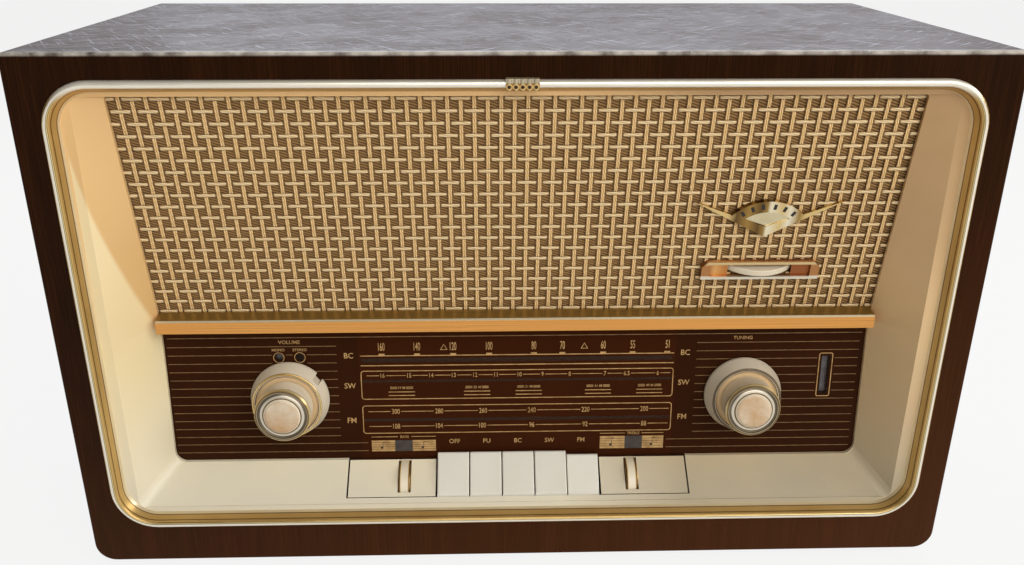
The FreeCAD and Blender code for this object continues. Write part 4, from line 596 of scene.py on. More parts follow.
@dataclass(frozen=True)
class IvoryWithPaintedShade(MouldedPlastic):
    """Urea moulding with painted light: tan and shaded at the head, cream below, shaded to the right."""

    apron: str = "#e0dac6"
    foot: str = "#eae1c6"
    waist: str = "#f0dfb2"
    shoulder: str = "#e9c68e"
    head: str = "#e5bc82"
    unshaded: str = "#ffffff"
    # Painted shade towards the right: grey stops by height.
    right_shade_stops: tuple = ((0.0, "#cbc6bc"), (0.12, "#d8cdc0"), (0.28, "#e5d4c6"), (0.52, "#efe2dc"),
                      (0.72, "#dad6da"), (0.95, "#c8c4c4"))
    right_shade_span: Pair = (0.55, 0.7)
    reach: float = 300.0
    lowest: float = 40.0
    highest: float = 345.0
    shaded: str = "#d9b176"
    # Painted light below the painted shadow edge.
    cream: str = "#f1e2b6"
    wall: Pair = (-276.5, -248.0)
    shadow_edge_start: float = 306.0
    shadow_edge_slope: float = -5.33
    shadow_edge_half: float = 7.0
    cream_levels: Pair = (160.0, 240.0)
    shaded_levels: Pair = (335.0, 240.0)
    cream_share: float = 0.75
    shaded_share: float = 0.9

    def tint(self, tree: Tree, place: Socket) -> Node:
        """Grade the colour with height and across, in painted light and shade.

        Args:
            tree: the material's tree.
            place: object coordinates in metres.

        Returns:
            The node that carries the colour.
        """
        split = add_node(tree, "SeparateXYZ", {0: place})
        slow = add_node(tree, "TexNoise", {"Vector": place, "Scale": 1 / (self.drift_size * MM),
                                           "Detail": 3.0})
        uneven = add_node(tree, "Math", {0: slow, 1: self.drift_size * MM, 2: split.outputs["Z"]},
                          operation="MULTIPLY_ADD")
        level = add_node(tree, "MapRange", {0: uneven, "From Min": (self.lowest + self.drift_size / 2) * MM,
                                            "From Max": (self.highest + self.drift_size / 2) * MM})
        # Painted shade at the head, painted light lower down.
        ramp = add_node(tree, "ValToRGB", {0: level},
                        stops=[(0.03, self.apron), (0.12, self.foot), (0.42, self.waist),
                               (0.72, self.shoulder), (1.0, self.head)])
        # Painted shade: greyer towards the right-hand end.
        across = add_node(tree, "MapRange", {0: split.outputs["X"], "From Min": -self.reach * MM,
                                             "From Max": self.reach * MM})
        first, last = self.right_shade_span
        right = add_node(tree, "MapRange", {0: across, "From Min": first, "From Max": last})
        brown = add_node(tree, "ValToRGB", {0: level}, stops=self.right_shade_stops)
        right_shade = add_node(tree, "Mix", {0: right, 6: linear(self.unshaded), 7: brown}, data_type="RGBA")
        colour = add_node(tree, "Mix", {0: 1.0, 6: ramp, 7: right_shade}, data_type="RGBA", blend_type="MULTIPLY")
        return self.shadow_edge(tree, place, split, colour)

    def shadow_edge(self, tree: Tree, place: Socket, split: Node, colour: Node) -> Node:
        """Paint a slanting shadow edge on the left wall: painted shade above it and painted light below.

        Args:
            tree: the material's tree.
            place: object coordinates in metres.
            split: the node that takes them apart.
            colour: the node with the colour so far.

        Returns:
            The node that carries the colour.
        """
        outer, inner = self.wall
        middle = self.shadow_edge_start - self.shadow_edge_slope * outer
        over = add_node(tree, "VectorMath", {0: place, 1: (-self.shadow_edge_slope, 0.0, 1.0)},
                        operation="DOT_PRODUCT")
        upper = add_node(tree, "MapRange", {0: over, "From Min": (middle - self.shadow_edge_half) * MM,
                                            "From Max": (middle + self.shadow_edge_half) * MM},
                         interpolation_type="SMOOTHSTEP")
        side = add_node(tree, "Math", {0: split.outputs["X"], 1: (outer + inner) / 2 * MM,
                                       2: (inner - outer) / 2 * MM}, operation="COMPARE")
        # Painted light below the shadow edge, painted shade above it.
        for tone, levels, share, below, above in (
                (self.cream, self.cream_levels, self.cream_share, 1.0, 0.0),
                (self.shaded, self.shaded_levels, self.shaded_share, 0.0, 1.0)):
            fading = add_node(tree, "MapRange", {0: split.outputs["Z"], "From Min": levels[0] * MM,
                                                 "From Max": levels[1] * MM, "To Max": share})
            part = add_node(tree, "MapRange", {0: upper, "To Min": below, "To Max": above})
            for mask in (fading, side):
                part = add_node(tree, "Math", {0: part, 1: mask}, operation="MULTIPLY")
            colour = add_node(tree, "Mix", {0: part, 6: colour, 7: linear(tone)}, data_type="RGBA")
        return colour


@dataclass(frozen=True)
class PanelIvory(IvoryWithPaintedShade):
    """Urea cover plate of the same ivory, with painted shade of the gap at its foot and outer end."""

    # Painted shade of the gap round the plate.
    joint: str = "#20150c"
    outer_end: float = 123.3
    foot_level: float = 51.25

    def tint(self, tree: Tree, place: Socket) -> Node:
        """Draw the painted shade of the gap over the ivory.

        Args:
            tree: the material's tree.
            place: object coordinates in metres.

        Returns:
            The node that carries the colour.
        """
        split = add_node(tree, "SeparateXYZ", {0: place})
        aside = add_node(tree, "Math", {0: split.outputs["X"]}, operation="ABSOLUTE")
        end = add_node(tree, "Math", {0: aside, 1: self.outer_end * MM}, operation="GREATER_THAN")
        foot = add_node(tree, "Math", {0: split.outputs["Z"], 1: self.foot_level * MM},
                        operation="LESS_THAN")
        # Painted shade of the gap at the outer end and the foot.
        gap_shade = add_node(tree, "Math", {0: end, 1: foot}, operation="MAXIMUM")
        ivory = IvoryWithPaintedShade.tint(self, tree, place)
        return add_node(tree, "Mix", {0: gap_shade, 6: ivory, 7: linear(self.joint)}, data_type="RGBA")


@dataclass(frozen=True)
class DishedIvory(MouldedPlastic):
    """Urea ring knob: its dished front is tan, and a dark line of painted shade lies against the bead."""

    middle: float = 0.0
    dish: str = "#d4b88e"
    line: str = "#37281a"
    smallest: float = 20.0
    largest: float = 25.0

    def tint(self, tree: Tree, place: Socket) -> Node:
        """Draw dish and line about the knob's axis."""
        # Painted shade: the dark line in the crease against the bead.
        return banded(tree, DIAL.reach(tree, place, self.middle), self.smallest, self.largest,
                      [(0.38, self.dish), (0.42, self.line), (0.5, self.line), (0.54, self.base)])


@dataclass(frozen=True)
class BandedIvory(MouldedPlastic):
    """Polystyrene thumbwheel: ivory in the middle, gilt lines beside it and flanks dark with painted shade.
    """

    middle: float = 0.0
    gilt: str = "#c09a52"
    flank_shade: str = "#2a1f15"
    half: float = 4.2

    def tint(self, tree: Tree, place: Socket) -> Node:
        """Draw the bands across the rim.

        Args:
            tree: the material's tree.
            place: object coordinates in metres.

        Returns:
            The node that carries the colour.
        """
        across = add_node(tree, "SeparateXYZ", {0: place}).outputs["X"]
        shift = add_node(tree, "Math", {0: across, 1: self.middle * MM}, operation="SUBTRACT")
        aside = add_node(tree, "Math", {0: shift}, operation="ABSOLUTE")
        # Painted shade: the flanks darkened where the slot shades them.
        return banded(tree, aside, 0.0, self.half,
                      [(0.6, self.base), (0.64, self.gilt), (0.74, self.gilt), (0.78, self.flank_shade)])


@dataclass(frozen=True)
class SheetMetal(Finish):
    """Drawn, turned or pressed metal, anodised, gilt or plated.

    The eye sees the metal's own tint, a fine polish or a dull plate, and a rubbed uneven shine.
    """

    base: str = "#d3ae62"
    rubbed: str = "#e9d29a"
    roughness: float = 0.2
    brush: Brush = Brush.POLISHED
    line_width: float = 0.5
    line_share: float = 0.35
    wear_size: float = 22.22
    metallic: float = 1.0
    tarnish: str = "#3a2a14"
    tarnish_reach: float = 2.0
    plate_depth: float = 0.1

    def tint(self, tree: Tree, place: Socket, wear: Node) -> Node:
        """Give the metal's colour before tarnish.

        Args:
            tree: the material's tree.
            place: object coordinates in metres; not used here.
            wear: the share of wear.

        Returns:
            The node that carries the colour.
        """
        return add_node(tree, "ValToRGB", {0: wear}, stops=[(0.38, self.base), (0.68, self.rubbed)])

    def shade(self, tree: Tree, shader: Node, place: Socket) -> None:
        """Wire tint, lines and shine.

        Args:
            tree: the material's tree.
            shader: its principled shader.
            place: object coordinates in metres.
        """
        fine = 1 / (self.line_width * MM)
        lines = add_node(tree, "VectorMath", {0: place, 1: (fine, fine, fine)}, operation="MULTIPLY")
        hair = add_node(tree, "TexNoise", {"Vector": lines, "Scale": 1.0, "Detail": 3.0})
        slow = add_node(tree, "TexNoise", {"Vector": place, "Scale": 1 / (self.wear_size * MM),
                                           "Detail": 4.0})
        wear = add_node(tree, "Mix", {0: self.line_share, 2: slow, 3: hair})
        creases = add_node(tree, "AmbientOcclusion", {"Distance": self.tarnish_reach * MM}, samples=8)
        dull = add_node(tree, "MapRange", {0: creases.outputs["AO"], "From Min": 0.6, "From Max": 0.15,
                                           "To Max": 0.75})
        colour = add_node(tree, "Mix", {0: dull, 6: self.tint(tree, place, wear), 7: linear(self.tarnish)},
                          data_type="RGBA")
        spread = 0.04 if self.brush is Brush.POLISHED else 0.14
        shine = add_node(tree, "MapRange", {0: wear, "From Min": 0.3, "From Max": 0.7,
                                            "To Min": self.roughness - spread / 2,
                                            "To Max": self.roughness + spread})
        feed(tree, shader, {"Base Color": colour, "Roughness": shine, "Metallic": self.metallic})
        if self.brush is not Brush.POLISHED:
            feed(tree, shader, {"Normal": add_node(tree, "Bump", {"Height": hair, "Strength": 0.08,
                                                                  "Distance": self.plate_depth * MM})})


@dataclass(frozen=True)
class RingMetal(SheetMetal):
    """Rolled brass strip, gilt: a bead with painted highlights, a dark line at its foot and a gold flange
    inside.
    """

    # Painted highlight: the bead's silvery tone.
    outer: str = "#ebe5d6"
    lip: str = "#e2d2ae"
    joint: str = "#6f5632"
    line: str = "#6a4f24"
    glint: str = "#ecd896"
    middle_height: float = 190.0
    flatness: float = 0.62
    back: float = -137.05
    front: float = -146.05
    head: Pair = (338.0, 349.0)
    flange_facing: float = -0.3
    flange_share: float = 0.72
    wear_share: float = 0.4

    def tint(self, tree: Tree, place: Socket, wear: Node) -> Node:
        """Draw the section's lines by depth, with painted highlights by the way the bead's faces turn.

        Args:
            tree: the material's tree.
            place: object coordinates in metres.
            wear: the share of wear.

        Returns:
            The node that carries the colour.
        """
        away = add_node(tree, "VectorMath", {0: place, 1: (0.0, 0.0, self.middle_height * MM)},
                        operation="SUBTRACT")
        level = add_node(tree, "VectorMath", {0: away, 1: (self.flatness, 0.0, 1.0)}, operation="MULTIPLY")
        aim = add_node(tree, "VectorMath", {0: level}, operation="NORMALIZE")
        facing = add_node(tree, "VectorMath", {0: aim, 1: add_node(tree, "NewGeometry").outputs["Normal"]},
                          operation="DOT_PRODUCT")
        turned = add_node(tree, "MapRange", {0: facing, "From Min": -1.0, "From Max": 1.0})
        # Painted highlights and reflections by the way each face turns: silvery and pale glint lines between
        # gold and dark lines.
        bead = add_node(tree, "ValToRGB", {0: turned},
                        stops=[(0.2, self.base), (0.26, self.line), (0.32, self.glint), (0.38, self.line),
                               (0.46, self.outer), (0.66, self.outer), (0.74, self.base), (0.84, self.line),
                               (0.92, self.glint)])
        split = add_node(tree, "SeparateXYZ", {0: place})
        # Painted highlight: silvery along the top of the ring.
        high = add_node(tree, "MapRange", {0: split.outputs["Z"], "From Min": self.head[0] * MM,
                                           "From Max": self.head[1] * MM}, interpolation_type="SMOOTHSTEP")
        painted_top_highlight = add_node(tree, "Mix", {0: high, 6: bead, 7: linear(self.outer)}, data_type="RGBA")
        share = add_node(tree, "MapRange", {0: split.outputs["Y"], "From Min": self.back * MM,
                                            "From Max": self.front * MM})
        flange = add_node(tree, "ValToRGB", {0: share},
                          stops=[(0.2, self.lip), (0.23, self.joint), (0.26, self.joint), (0.3, self.base),
                                 (0.62, self.base), (0.68, self.line)])
        inside = add_node(tree, "Math", {0: facing, 1: self.flange_facing}, operation="LESS_THAN")
        low = add_node(tree, "Math", {0: share, 1: self.flange_share}, operation="LESS_THAN")
        sloping = add_node(tree, "Math", {0: inside, 1: low}, operation="MULTIPLY")
        whole = add_node(tree, "Mix", {0: sloping, 6: painted_top_highlight, 7: flange}, data_type="RGBA")
        return add_node(tree, "Mix", {0: self.wear_share, 6: whole, 7: wear}, data_type="RGBA",
                        blend_type="SOFT_LIGHT")


@dataclass(frozen=True)
class ClaspMetal(SheetMetal):
    """Folded brass, gilt: a pale head band over five round studs with dark hollows."""

    hollow: str = "#2a1a0c"
    stud_edge: str = "#8a652e"
    pale: str = "#cfc2a4"
    left: float = -9.5
    pitch: float = 4.0
    stud_level: float = 348.2
    band_level: float = 350.3
    stud_reach: float = 2.4
    wear_share: float = 0.5

    def tint(self, tree: Tree, place: Socket, wear: Node) -> Node:
        """Draw the studs under the band.

        Args:
            tree: the material's tree.
            place: object coordinates in metres.
            wear: the share of wear.

        Returns:
            The node that carries the colour.
        """
        split = add_node(tree, "SeparateXYZ", {0: place})
        steps = add_node(tree, "Math", {0: split.outputs["X"], 1: 1 / (self.pitch * MM),
                                        2: -self.left / self.pitch}, operation="MULTIPLY_ADD")
        within = add_node(tree, "Math", {0: steps}, operation="FRACT")
        across = add_node(tree, "Math", {0: within, 1: self.pitch * MM, 2: -self.pitch * MM / 2},
                          operation="MULTIPLY_ADD")
        spot = add_node(tree, "CombineXYZ", {"X": across, "Z": split.outputs["Z"]})
        reach = add_node(tree, "VectorMath", {0: spot, 1: (0.0, 0.0, self.stud_level * MM)},
                         operation="DISTANCE")
        studs = banded(tree, reach, 0.0, self.stud_reach,
                       [(0.32, self.hollow), (0.46, self.stud_edge), (0.6, self.rubbed), (0.76, self.base),
                        (0.92, self.stud_edge)])
        head = add_node(tree, "Math", {0: split.outputs["Z"], 1: self.band_level * MM},
                        operation="GREATER_THAN")
        band = add_node(tree, "Mix", {0: self.wear_share, 6: linear(self.pale), 7: wear}, data_type="RGBA",
                        blend_type="MULTIPLY")
        return add_node(tree, "Mix", {0: head, 6: studs, 7: band}, data_type="RGBA")


@dataclass(frozen=True)
class BezelMetal(SheetMetal):
    """Turned brass bezel, pale gilt, with dark rings of painted shade where its grooves are."""

    middle: float = 0.0
    dark: str = "#43341f"
    grey: str = "#a0937a"
    pale: str = "#d0c9ba"
    smallest: float = 12.0
    largest: float = 20.0

    def tint(self, tree: Tree, place: Socket, wear: Node) -> Node:
        """Draw rings about the knob's axis; the dark ones are painted groove shade."""
        return banded(tree, DIAL.reach(tree, place, self.middle), self.smallest, self.largest,
                      [(0.15, self.dark), (0.19, self.base), (0.24, self.pale), (0.4, self.pale),
                       (0.45, self.dark), (0.53, self.grey), (0.59, self.dark), (0.68, self.grey),
                       (0.75, self.dark), (0.82, self.base), (0.9, self.rubbed)])


@dataclass(frozen=True)
class BadgeMetal(SheetMetal):
    """Stamped brass, gilt: the left wing deeper gold in painted shade, the right one pale in painted light.
    """

    pale: str = "#e4d8b8"
    deep: str = "#5f482a"
    middle: float = 164.0
    half: float = 26.0
    wear_share: float = 0.8

    def tint(self, tree: Tree, place: Socket, wear: Node) -> Node:
        """Grade from the left wing to the right one in painted shade and light.

        Args:
            tree: the material's tree.
            place: object coordinates in metres.
            wear: the share of wear.

        Returns:
            The node that carries the colour.
        """
        left, right = self.middle - self.half, self.middle + self.half
        # Painted light: deep shade on the left wing, pale light and highlights on the right one.
        ramp = banded(tree, GRILLE.level(tree, place, ACROSS), left, right,
                      [(0.0, self.rubbed), (0.1, self.deep), (0.26, self.base), (0.4, self.deep),
                       (0.48, self.base), (0.52, self.pale), (0.68, self.rubbed), (0.78, self.pale),
                       (0.9, self.base), (1.0, self.rubbed)])
        return add_node(tree, "Mix", {0: self.wear_share, 6: ramp, 7: wear}, data_type="RGBA",
                        blend_type="SOFT_LIGHT")


@dataclass(frozen=True)
class BalanceMetal(SheetMetal):
    """Pressed aluminium, gold anodised: painted coppery light and shade in its hollows, a painted silvery
    highlight on the lip.
    """

    # Painted light in the hollows: lit at the left, shaded at the right, with a painted gleam.
    lit_hollow: str = "#d08a44"
    gleam: str = "#eab06a"
    shaded_hollow: str = "#9c5a2c"
    lip: str = "#e8dfc8"
    middle: Pair = (165.5, -127.25)
    half: Pair = (40.5, 6.8)
    floor: float = 1.6
    front: float = 3.9
    wear_share: float = 0.3

    def tint(self, tree: Tree, place: Socket, wear: Node) -> Node:
        """Tell hollows, lip and rim apart by place, with painted light and shade.

        Args:
            tree: the material's tree.
            place: object coordinates in metres.
            wear: the share of wear.

        Returns:
            The node that carries the colour.
        """
        (x, y), (wide, tall) = self.middle, self.half
        hollows = banded(tree, GRILLE.level(tree, place, ACROSS), x - wide, x + wide,
                         [(0.05, self.shaded_hollow), (0.12, self.gleam), (0.2, self.lit_hollow),
                          (0.5, self.shaded_hollow), (0.9, self.shaded_hollow), (0.97, self.lit_hollow)])
        # Painted highlight: the silvery lower lip.
        rim = banded(tree, GRILLE.level(tree, place, GRILLE.up), y - tall, y + tall,
                     [(0.0, self.lip), (0.16, self.lip), (0.22, self.base), (0.8, self.base),
                      (0.9, self.rubbed)])
        raised = add_node(tree, "MapRange", {0: GRILLE.level(tree, place, GRILLE.out),
                                             "From Min": self.floor * MM, "From Max": self.front * MM})
        whole = add_node(tree, "Mix", {0: raised, 6: hollows, 7: rim}, data_type="RGBA")
        return add_node(tree, "Mix", {0: self.wear_share, 6: whole, 7: wear}, data_type="RGBA",
                        blend_type="MULTIPLY")


@dataclass(frozen=True)
class BarMetal(Finish):
    """Gold-anodised aluminium section, drawn and brushed along its length.

    Painted reflections: the front flat is orange, the narrow bevel over it almost white, the sloping back
    olive.
    """

    flat: str = "#e5a252"
    bevel_highlight: str = "#f4e7c4"
    slope: str = "#a08042"
    line_width: float = 0.6
    line_length: float = 120.0
    line_share: float = 0.3

    def shade(self, tree: Tree, shader: Node, place: Socket) -> None:
        """Wire painted reflections by the way a face turns, and brush lines.

        Args:
            tree: the material's tree.
            shader: its principled shader.
            place: object coordinates in metres.
        """
        fine, far = 1 / (self.line_width * MM), 1 / (self.line_length * MM)
        lines = add_node(tree, "VectorMath", {0: place, 1: (far, fine, fine)}, operation="MULTIPLY")
        hair = add_node(tree, "TexNoise", {"Vector": lines, "Scale": 1.0, "Detail": 3.0})
        normal = add_node(tree, "SeparateXYZ", {0: add_node(tree, "NewGeometry").outputs["Normal"]})
        # Painted reflections by the normal: orange front, near white bevel, olive back.
        tint = add_node(tree, "ValToRGB", {0: normal.outputs["Z"]},
                        stops=[(0.3, self.flat), (0.5, self.bevel_highlight), (0.76, self.bevel_highlight), (0.88, self.slope)])
        colour = add_node(tree, "Mix", {0: self.line_share, 6: tint, 7: hair}, data_type="RGBA",
                          blend_type="MULTIPLY")
        shine = add_node(tree, "MapRange", {0: hair, "To Min": 0.2, "To Max": 0.42})
        feed(tree, shader, {"Base Color": colour, "Roughness": shine, "Metallic": 0.6})


@dataclass(frozen=True)
class DialGlass(Finish):
    """Float glass, screen-printed brown on its back, with clear strips and windows left open.

    The eye sees a deep brown gloss, a little warmer over the scales, and the smoky strips between lines.
    """

    ends: str = "#341b0e"
    scales: str = "#3c1d0d"
    clear: str = "#3d3029"
    sheen: str = "#a8683c"
    scale_half: float = 114.0
    strip_half: float = 112.0
    strips: tuple = ((28.0, 1.5), (11.9, 0.9), (-18.8, 1.1))
    eye: tuple = (223.8, 13.5, 3.2, 14.6)
    mode_windows: tuple = MODE_WINDOWS
    window_radius: float = 3.3
    cloud_size: float = 33.33
    cloud_share: float = 0.35

    def shade(self, tree: Tree, shader: Node, place: Socket) -> None:
        """Wire the brown back print with its clear places.

        Args:
            tree: the material's tree.
            shader: its principled shader.
            place: object coordinates in metres.
        """
        across = DIAL.level(tree, place, ACROSS)
        up = DIAL.level(tree, place, DIAL.up)
        left, level, half, tall = self.eye
        spans = [(across, 0.0, self.scale_half), (across, 0.0, self.strip_half), (across, left, half),
                 (up, level, tall), *((up, middle, width) for middle, width in self.strips)]
        scales, strip_ends, eye, eye_level, strips, *more = [
            add_node(tree, "Math", {0: source, 1: middle * MM, 2: width * MM}, operation="COMPARE")
            for source, middle, width in spans]
        windows = add_node(tree, "Math", {0: eye, 1: eye_level}, operation="MULTIPLY")
        spot = add_node(tree, "CombineXYZ", {"X": across, "Y": up})
        for x, y in self.mode_windows:
            reach = add_node(tree, "VectorMath", {0: spot, 1: (x * MM, y * MM, 0.0)}, operation="DISTANCE")
            disc = add_node(tree, "Math", {0: reach, 1: self.window_radius * MM}, operation="LESS_THAN")
            windows = add_node(tree, "Math", {0: windows, 1: disc}, operation="MAXIMUM")
        for band in more:
            strips = add_node(tree, "Math", {0: strips, 1: band}, operation="MAXIMUM")
        strips = add_node(tree, "Math", {0: strips, 1: strip_ends}, operation="MULTIPLY")
        warm = add_node(tree, "Mix", {0: scales, 6: linear(self.ends), 7: linear(self.scales)},
                        data_type="RGBA")
        cloud = add_node(tree, "TexNoise", {"Vector": place, "Scale": 1 / (self.cloud_size * MM),
                                            "Detail": 3.0})
        uneven = add_node(tree, "Mix", {0: self.cloud_share, 6: warm, 7: cloud}, data_type="RGBA",
                          blend_type="MULTIPLY")
        opened = add_node(tree, "Math", {0: strips, 1: windows}, operation="MAXIMUM")
        colour = add_node(tree, "Mix", {0: opened, 6: uneven, 7: linear(self.clear)}, data_type="RGBA")
        smoke = add_node(tree, "MapRange", {0: strips, "To Min": 1.0, "To Max": 0.7})
        glazed = add_node(tree, "MapRange", {0: windows, "To Min": 1.0, "To Max": 0.3})
        solid = add_node(tree, "Math", {0: smoke, 1: glazed}, operation="MINIMUM")
        film = add_node(tree, "MapRange", {0: cloud, "To Min": 0.07, "To Max": 0.2})
        feed(tree, shader, {"Base Color": colour, "Alpha": solid, "Roughness": film, "IOR": 1.5,
                            "Specular IOR Level": 0.15, "Specular Tint": linear(self.sheen)})


@dataclass(frozen=True)
class ClearGlass(Finish):
    """Blown soda glass with a dark getter film near its end.

    The eye sees sharp highlights over a smoky see-through body.
    """

    base: str = "#aeb4b2"
    film: str = "#2b2b2d"
    see_through: float = 0.45
    film_size: float = 14.29

    def shade(self, tree: Tree, shader: Node, place: Socket) -> None:
        """Wire the film and the clearness.

        Args:
            tree: the material's tree.
            shader: its principled shader.
            place: object coordinates in metres.
        """
        cloud = add_node(tree, "TexNoise", {"Vector": place, "Scale": 1 / (self.film_size * MM),
                                            "Detail": 2.0})
        tint = add_node(tree, "ValToRGB", {0: cloud}, stops=[(0.4, self.base), (0.75, self.film)])
        body = add_node(tree, "MapRange", {0: cloud, "To Min": self.see_through, "To Max": 0.95})
        feed(tree, shader, {"Base Color": tint, "Alpha": body, "Roughness": 0.06, "IOR": 1.5})


@dataclass(frozen=True)
class Woven(Finish):
    """Spun yarn or woven cloth.

    The eye sees diagonal threads at a real thread spacing, a matt fuzz and yarns of uneven tone. The
    spacing is drawn a little coarse so that it shows at the picture's scale.
    """

    shadow: str = "#45311a"
    lit: str = "#b48f5a"
    spacing: float = 1.35
    slant: Triple = (0.6, 0.0, 1.0)
    depth: float = 0.25
    patch_size: float = 25.0
    patch_share: float = 0.3
    wobble: float = 1.4
    # Painted shade where a strand dives under a crossing strand.
    dip_shade: str | None = None
    dip_low: float = -1.0
    dip_high: float = -0.42

    def shade(self, tree: Tree, shader: Node, place: Socket) -> None:
        """Wire threads, tone and fuzz.

        Args:
            tree: the material's tree.
            shader: its principled shader.
            place: object coordinates in metres.
        """
        run = add_node(tree, "VectorMath", {0: place, 1: self.slant}, operation="DOT_PRODUCT")
        turn = add_node(tree, "Math", {0: run, 1: 2 * math.pi / (self.spacing * MM)}, operation="MULTIPLY")
        wobble = add_node(tree, "TexNoise", {"Vector": place, "Scale": 0.5 / (self.spacing * MM),
                                             "Detail": 2.0})
        pushed = add_node(tree, "Math", {0: wobble, 1: self.wobble, 2: turn}, operation="MULTIPLY_ADD")
        wave = add_node(tree, "Math", {0: pushed}, operation="SINE")
        thread = add_node(tree, "MapRange", {0: wave, "From Min": -1.0, "From Max": 1.0})
        patch = add_node(tree, "TexNoise", {"Vector": place, "Scale": 1 / (self.patch_size * MM),
                                            "Detail": 3.0})
        tone = add_node(tree, "Mix", {0: self.patch_share, 2: thread, 3: patch})
        colour = add_node(tree, "ValToRGB", {0: tone}, stops=[(0.25, self.shadow), (0.72, self.lit)])
        # Painted shade: strands darken where they dive under a crossing strand.
        if self.dip_shade:
            height = GRILLE.level(tree, place, GRILLE.out)
            lift = add_node(tree, "MapRange", {0: height, "From Min": self.dip_high * MM,
                                               "From Max": self.dip_low * MM},
                            interpolation_type="SMOOTHSTEP")
            colour = add_node(tree, "Mix", {0: lift, 6: colour, 7: linear(self.dip_shade)}, data_type="RGBA")
        bump = add_node(tree, "Bump", {"Height": thread, "Strength": 0.5, "Distance": self.depth * MM})
        feed(tree, shader, {"Base Color": colour, "Normal": bump, "Roughness": 0.78, "Sheen Weight": 0.15})


@dataclass(frozen=True)
class PressedBoard(Finish):
    """Hard-pressed wood fibre or paper: matt, flecked and a little uneven."""

    base: str = "#7a5a38"
    fleck: str = "#4a331d"
    fibre: float = 1.6
    fibre_depth: float = 0.3
    fibre_share: float = 0.75
    patch_size: float = 55.56
    roughness: float = 0.75

    def shade(self, tree: Tree, shader: Node, place: Socket) -> None:
        """Wire the flecks.

        Args:
            tree: the material's tree.
            shader: its principled shader.
            place: object coordinates in metres.
        """
        fine = add_node(tree, "TexNoise", {"Vector": place, "Scale": 1 / (self.fibre * MM), "Detail": 4.0})
        slow = add_node(tree, "TexNoise", {"Vector": place, "Scale": 1 / (self.patch_size * MM),
                                           "Detail": 3.0})
        tone = add_node(tree, "Mix", {0: self.fibre_share, 2: slow, 3: fine})
        colour = add_node(tree, "ValToRGB", {0: tone}, stops=[(0.34, self.fleck), (0.58, self.base)])
        rough = add_node(tree, "MapRange", {0: fine, "To Min": self.roughness - 0.1,
                                            "To Max": self.roughness + 0.1})
        bump = add_node(tree, "Bump", {"Height": fine, "Strength": 0.25, "Distance": self.fibre_depth * MM})
        feed(tree, shader, {"Base Color": colour, "Roughness": rough, "Normal": bump})


@dataclass(frozen=True)
class PrintInk(Finish):
    """Bronze-powder ink, silk-screened: satin gold, thinner in places."""

    base: str = "#b08c55"
    thin: str = "#8c6b3c"
    grain_size: float = 6.25

    def shade(self, tree: Tree, shader: Node, place: Socket) -> None:
        """Wire the uneven powder.

        Args:
            tree: the material's tree.
            shader: its principled shader.
            place: object coordinates in metres.
        """
        grain = add_node(tree, "TexNoise", {"Vector": place, "Scale": 1 / (self.grain_size * MM),
                                            "Detail": 4.0})
        colour = add_node(tree, "ValToRGB", {0: grain}, stops=[(0.35, self.thin), (0.6, self.base)])
        rough = add_node(tree, "MapRange", {0: grain, "To Min": 0.38, "To Max": 0.6})
        feed(tree, shader, {"Base Color": colour, "Roughness": rough, "Metallic": 0.25})


@dataclass(frozen=True)
class BackdropPaper(Finish):
    """Matt paper sweep under the set: it keeps the shadow and shows near white to the camera."""

    pale: str = "#cbc8c2"
    dull: str = "#c4c1bb"
    glow: float = 0.86
    grain_size: float = 25.0

    def shade(self, tree: Tree, shader: Node, place: Socket) -> None:
        """Wire the paper and its glow.

        Args:
            tree: the material's tree.
            shader: its principled shader.
            place: object coordinates in metres.
        """
        grain = add_node(tree, "TexNoise", {"Vector": place, "Scale": 1 / (self.grain_size * MM)})
        tint = add_node(tree, "ValToRGB", {0: grain}, stops=[(0.3, self.dull), (0.7, self.pale)])
        feed(tree, shader, {"Base Color": tint, "Roughness": 0.9})
        path = add_node(tree, "LightPath")
        shown = path.outputs["Is Camera Ray"]
        for kind in ("Is Glossy Ray", "Is Transmission Ray"):
            shown = add_node(tree, "Math", {0: shown, 1: path.outputs[kind]}, operation="MAXIMUM")
        seen = add_node(tree, "Math", {0: shown, 1: self.glow}, operation="MULTIPLY")
        light = add_node(tree, "Emission", {"Strength": 1.0})
        mixed = add_node(tree, "MixShader", {0: seen, 1: shader, 2: light})
        feed(tree, tree.nodes["Material Output"], {"Surface": mixed})


WALNUT = LacqueredWalnut("walnut_veneer_gloss_lacquered")
IVORY = IvoryWithPaintedShade("urea_ivory_press_moulded")
KNOB_IVORY = MouldedPlastic("urea_ivory_knob_moulded", base="#ebe3d0", drift="#ddd1b6", dirt_and_shade_reach=4.0)
CAP_IVORY = MouldedPlastic("urea_cap_polished", base="#c4a178", drift="#dccfb8", roughness=0.26,
                           drift_size=17.0)
PANEL_IVORY = PanelIvory("urea_ivory_panel_moulded")
KEY_WHITE = MouldedPlastic("polystyrene_key_moulded", base="#e2e0d6", drift="#dad7cb", roughness=0.3,
                           dirt_and_shade_reach=3.0)
WHEEL_WHITE = MouldedPlastic("polystyrene_wheel_moulded", base="#e6dcc6", drift="#d8ccb0", dirt_and_shade_reach=2.0)
PHENOLIC = MouldedPlastic("phenolic_dark_moulded", base="#1c1714", drift="#2a221d", dirt_and_shade="#0c0a09",
                          roughness=0.45)
RUBBER = MouldedPlastic("rubber_matt_moulded", base="#1a1918", drift="#26241f", dirt_and_shade="#0a0a0a",
                        roughness=0.8)
NICKEL_GILT = SheetMetal("brass_pale_gilt_turned", base="#c09c58", rubbed="#e6d4a4", roughness=0.25,
                         metallic=0.7)
RING_GILT = RingMetal("brass_strip_gilt_rubbed", base="#c6a465", roughness=0.3, metallic=0.6)
